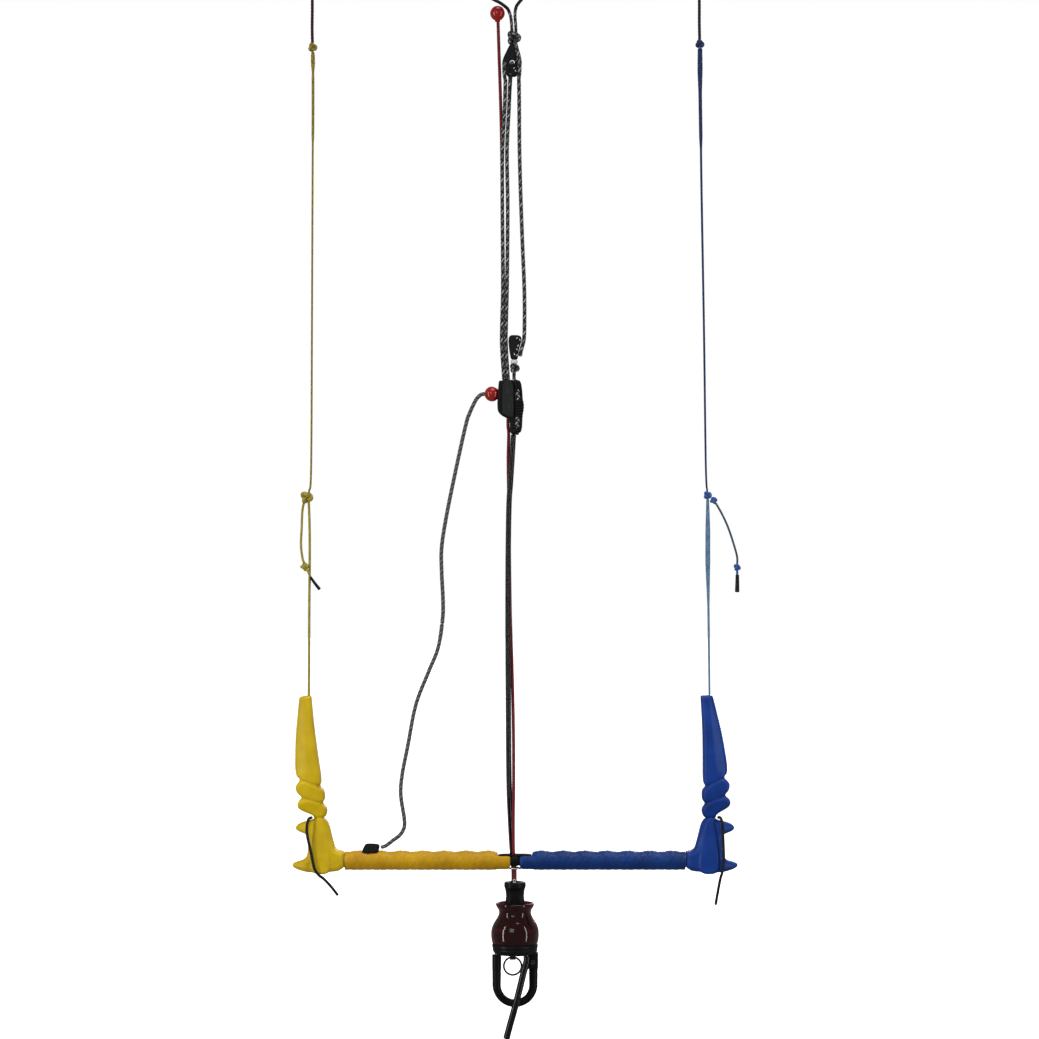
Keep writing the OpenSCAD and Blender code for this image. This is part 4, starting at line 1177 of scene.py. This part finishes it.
def add_cleat():
    def housing(x, y, z, shape):
        socket = BALL_R + 0.4 - np.sqrt((x - TRIM_BALL_X) ** 2 + y**2 + (z - TRIM_BALL_Z) ** 2)
        step = 0.5 * np.clip((z - 700) / 2, 0, 1) * (x < -14.6)
        front = box_distance(x, y, z, (6, -7, 709), (7.4, 5.5, 29), 1)
        return carve(np.maximum(shape, socket) + step, front, 0.6)

    slab("cleat_body", [
        (-19.6, 742.8), (-20.4, 737), (-21.8, 716), (-21.4, 706), (-18.6, 701.6), (-10.6, 697.4), (-6.4, 695.4),
        (-6.2, 682), (-4.6, 677.8), (3, 677.8), (4.2, 684), (4.2, 742.8),
    ], 9, 2, 0.7, CLEAT, "centre_line", "black_plastic", extra=housing)
    slab("cleat_cover", [
        (-14.6, 741.4), (-2.2, 741.4), (-1.6, 706), (-2.4, 698.4), (-6, 697.6), (-14, 702.4), (-14.9, 708),
    ], 1.1, 0.6, 0.4, PLATE, "centre_line", "black_plastic", middle=-9.9)

    def sleeve(x, y, z, shape):
        windows = np.minimum(
            box_distance(x + 0.06 * (z - 725), y, z, (3.4, -9, 725), (3.6, 4.4, 6.2), 1.4),
            box_distance(x - 0.12 * (z - 692), y, z, (2.6, -9, 691.6), (3.4, 4.4, 6.4), 1.4),
        )
        ribs = 0.25 * np.sin(z / 0.55) * (np.abs(z - 708) < 9)
        return carve(shape, windows, 0.8) - ribs

    slab("cleat_sleeve", [
        (-1.4, 679), (5, 679), (7.4, 681), (8.6, 686), (9.2, 700), (10.6, 708), (10.8, 713.4), (9.4, 719), (8.8, 730),
        (7.4, 739), (5.2, 742.4), (-1.4, 742.4),
    ], 7.6, 2, 0.5, NYLON, "centre_line", "tab_black", "cleat_lashing", extra=sleeve, middle=-1.6)
    route = [(-1, -4, 742.6), (2, -4.6, 735), (3.2, -5.2, 725), (4, -5.2, 708),
             (2.8, -5.2, 692), (2, -4.6, 682), (1, -3, 677.6)]
    add_line("cleat_rope", route, 3.6, WHITE_TRIM, "centre_line", "rope_grey", strands=8, cell=2.2, sides=48)


def add_tabs():
    def fold(x, y, z, shape):
        return shape + 0.5 * bump_at(y, 0.5)

    slab("lower_tab", [
        (-7.6, 794), (-5, 796.6), (4, 796.6), (7.6, 794.4), (8, 790), (4.8, 780), (3.4, 767.2), (-4.8, 767.2),
        (-6.6, 776), (-8, 788),
    ], 4, 1.5, 0.5, TAPE, "centre_line", "tab_black", extra=fold)
    rows = [((x, y, z), slant) for y in (-4, 4) for x, z, slant in (
        (2.4, 793, 0.9), (5.8, 790.8, -0.7), (3.6, 783.6, 0.5), (2.4, 779.4, -0.8), (-0.6, 773.4, -0.5),
        (2.6, 772.2, 0.8),
    )]
    stitches("lower_tab_stitches", rows, "centre_line")
    add_knot("lower_knot", (-0.6, 0, 757.2), 12, 11, 2.2, KNOT, "centre_line", "rope_grey", (0.3, 0.5, 0.3))
    add_line("knot_neck", [(-1, 0, 742.8), (-1.2, 0, 748), (-0.8, 0, 753)], 2.2, KNOT, "centre_line", "rope_grey",
             strands=4, cell=4, sides=20)

    def block(x, y, z, shape):
        eye = np.hypot(x + 3.4, z - 1124)
        welt = 0.6 * bump_at(eye - 4.6, 0.8)
        return np.maximum(shape - welt + 0.5 * bump_at(y, 0.5), 3.1 - eye)

    slab("trim_block", [
        (-4.6, 1148), (-9, 1140), (-15, 1127), (-15.6, 1119), (-12, 1111), (-8.4, 1106.6), (1.4, 1106.6), (5.8, 1113),
        (8.6, 1122), (6.6, 1134), (1.2, 1148),
    ], 4, 1.6, 0.5, TAPE, "front_lines", "tab_black", extra=block)
    rows = [((x, y, z), slant) for y in (-4, 4) for x, z, slant in (
        (1.2, 1125, 0.4), (0.6, 1113.4, -0.7), (-1.2, 1116.4, 0.8), (-3.4, 1112.4, -0.6),
    )]
    stitches("trim_block_stitches", rows, "front_lines")
    for letter, route in (
        ("a", [(-11.5, 0, 1102), (-12.6, -1, 1108), (-13.2, -3, 1116), (-11.8, -3.2, 1124)]),
        ("b", [(-6, 0, 1101), (-6, -1, 1106), (-5.8, -2.5, 1111)]),
        ("c", [(4.7, 0, 1106), (5.6, -3, 1112), (5.4, -4.2, 1122), (2.8, -4.2, 1138),
               (-0.2, -3, 1149)]),
    ):
        add_line(f"block_rope_{letter}", route, 2.3, TRIM, "front_lines", "rope_grey", cell=TRIM_CELL, sides=24,
                 relief=0.14)
    across = [(-3.7, y, 1122.8) for y in (6.4, 0, -6.4)]
    add_line("block_pin", across, 2.6, TRIM, "front_lines", "rope_grey", cell=TRIM_CELL, sides=24)
    route = [(-3.4, -5.2, 1123), (-3.6, -5.4, 1112), (-4.4, -5, 1100), (-5.2, -4, 1088), (-6, -3, 1077)]
    add_line("block_lashing", route, 1.1, BLACK_LINE, "front_lines", "tab_black", strands=4, sides=12)


def add_flange():
    """The thin rim of the centre insert, tapering to rounded ends, over the CAD insert."""

    def field(x, y, z):
        half = 7.5 * np.sqrt(np.clip(1 - (x / 20.6) ** 4, 0.02, 1))
        rim = plate(np.maximum(np.abs(x) - 19.6, np.abs(y) - half), np.abs(z - 173.1) - 0.9, 0.6)
        hole = 5.6 - np.hypot(np.maximum(np.abs(x) - 10.6, 0), y)
        return np.maximum(rim, hole)

    rim = surface("insert_rim", field, (-19.6, -7.5, 172.2), (19.6, 7.5, 174), 0.45, NYLON)
    put(rim, "bar", "black_plastic")


def repaint_cad():
    repaint(STEEL, "loop_tongue", "stick_pivot", "swivel_bolt", "wear_ring")
    repaint(DARK_STEEL, "leash_ring", "loop_hinge_pin")
    repaint(HANDLE, "leash_eye")
    repaint(NYLON, "core_post", "core_cap", "centre_insert", "anchor_pin", "cleat_jaw")
    repaint(ALLOY, "bar_tube")
    repaint(YELLOW_LINE, "leader_core_left")
    repaint(SKY_LINE, "leader_core_right")


add_camera()
add_world(1.0, 0.24)
add_floor()
add_sun(1.4)
add_area_light("left_strip", (-2.2, -1.3, 0.6), (0.24, 3.2), 30)
add_area_light("right_strip", (2.2, -1.4, 0.6), (0.22, 3.2), 22)
add_area_light("front", (-0.9, -3, 1.5), (1.2, 1.2), 14)
add_area_light("rear", (0.8, 2.6, 1.4), (1.6, 1.6), 26)
add_left_line()
add_right_line()
add_centre_lines()
add_trim_ropes()
add_tail()
add_bungee("left", BUNGEE_LEFT)
add_bungee("right", BUNGEE_RIGHT)
add_top_lines()
add_balls()
add_bar_ends()
add_grip(-1, "left", GRIP_YELLOW, "grip_yellow")
add_grip(1, "right", GRIP_BLUE, "grip_blue")
add_dock_patch()
add_cup()
add_loop()
add_handle()
add_spring()
add_collar()
add_stick()
add_cleat()
add_tabs()
add_flange()
repaint_cad()
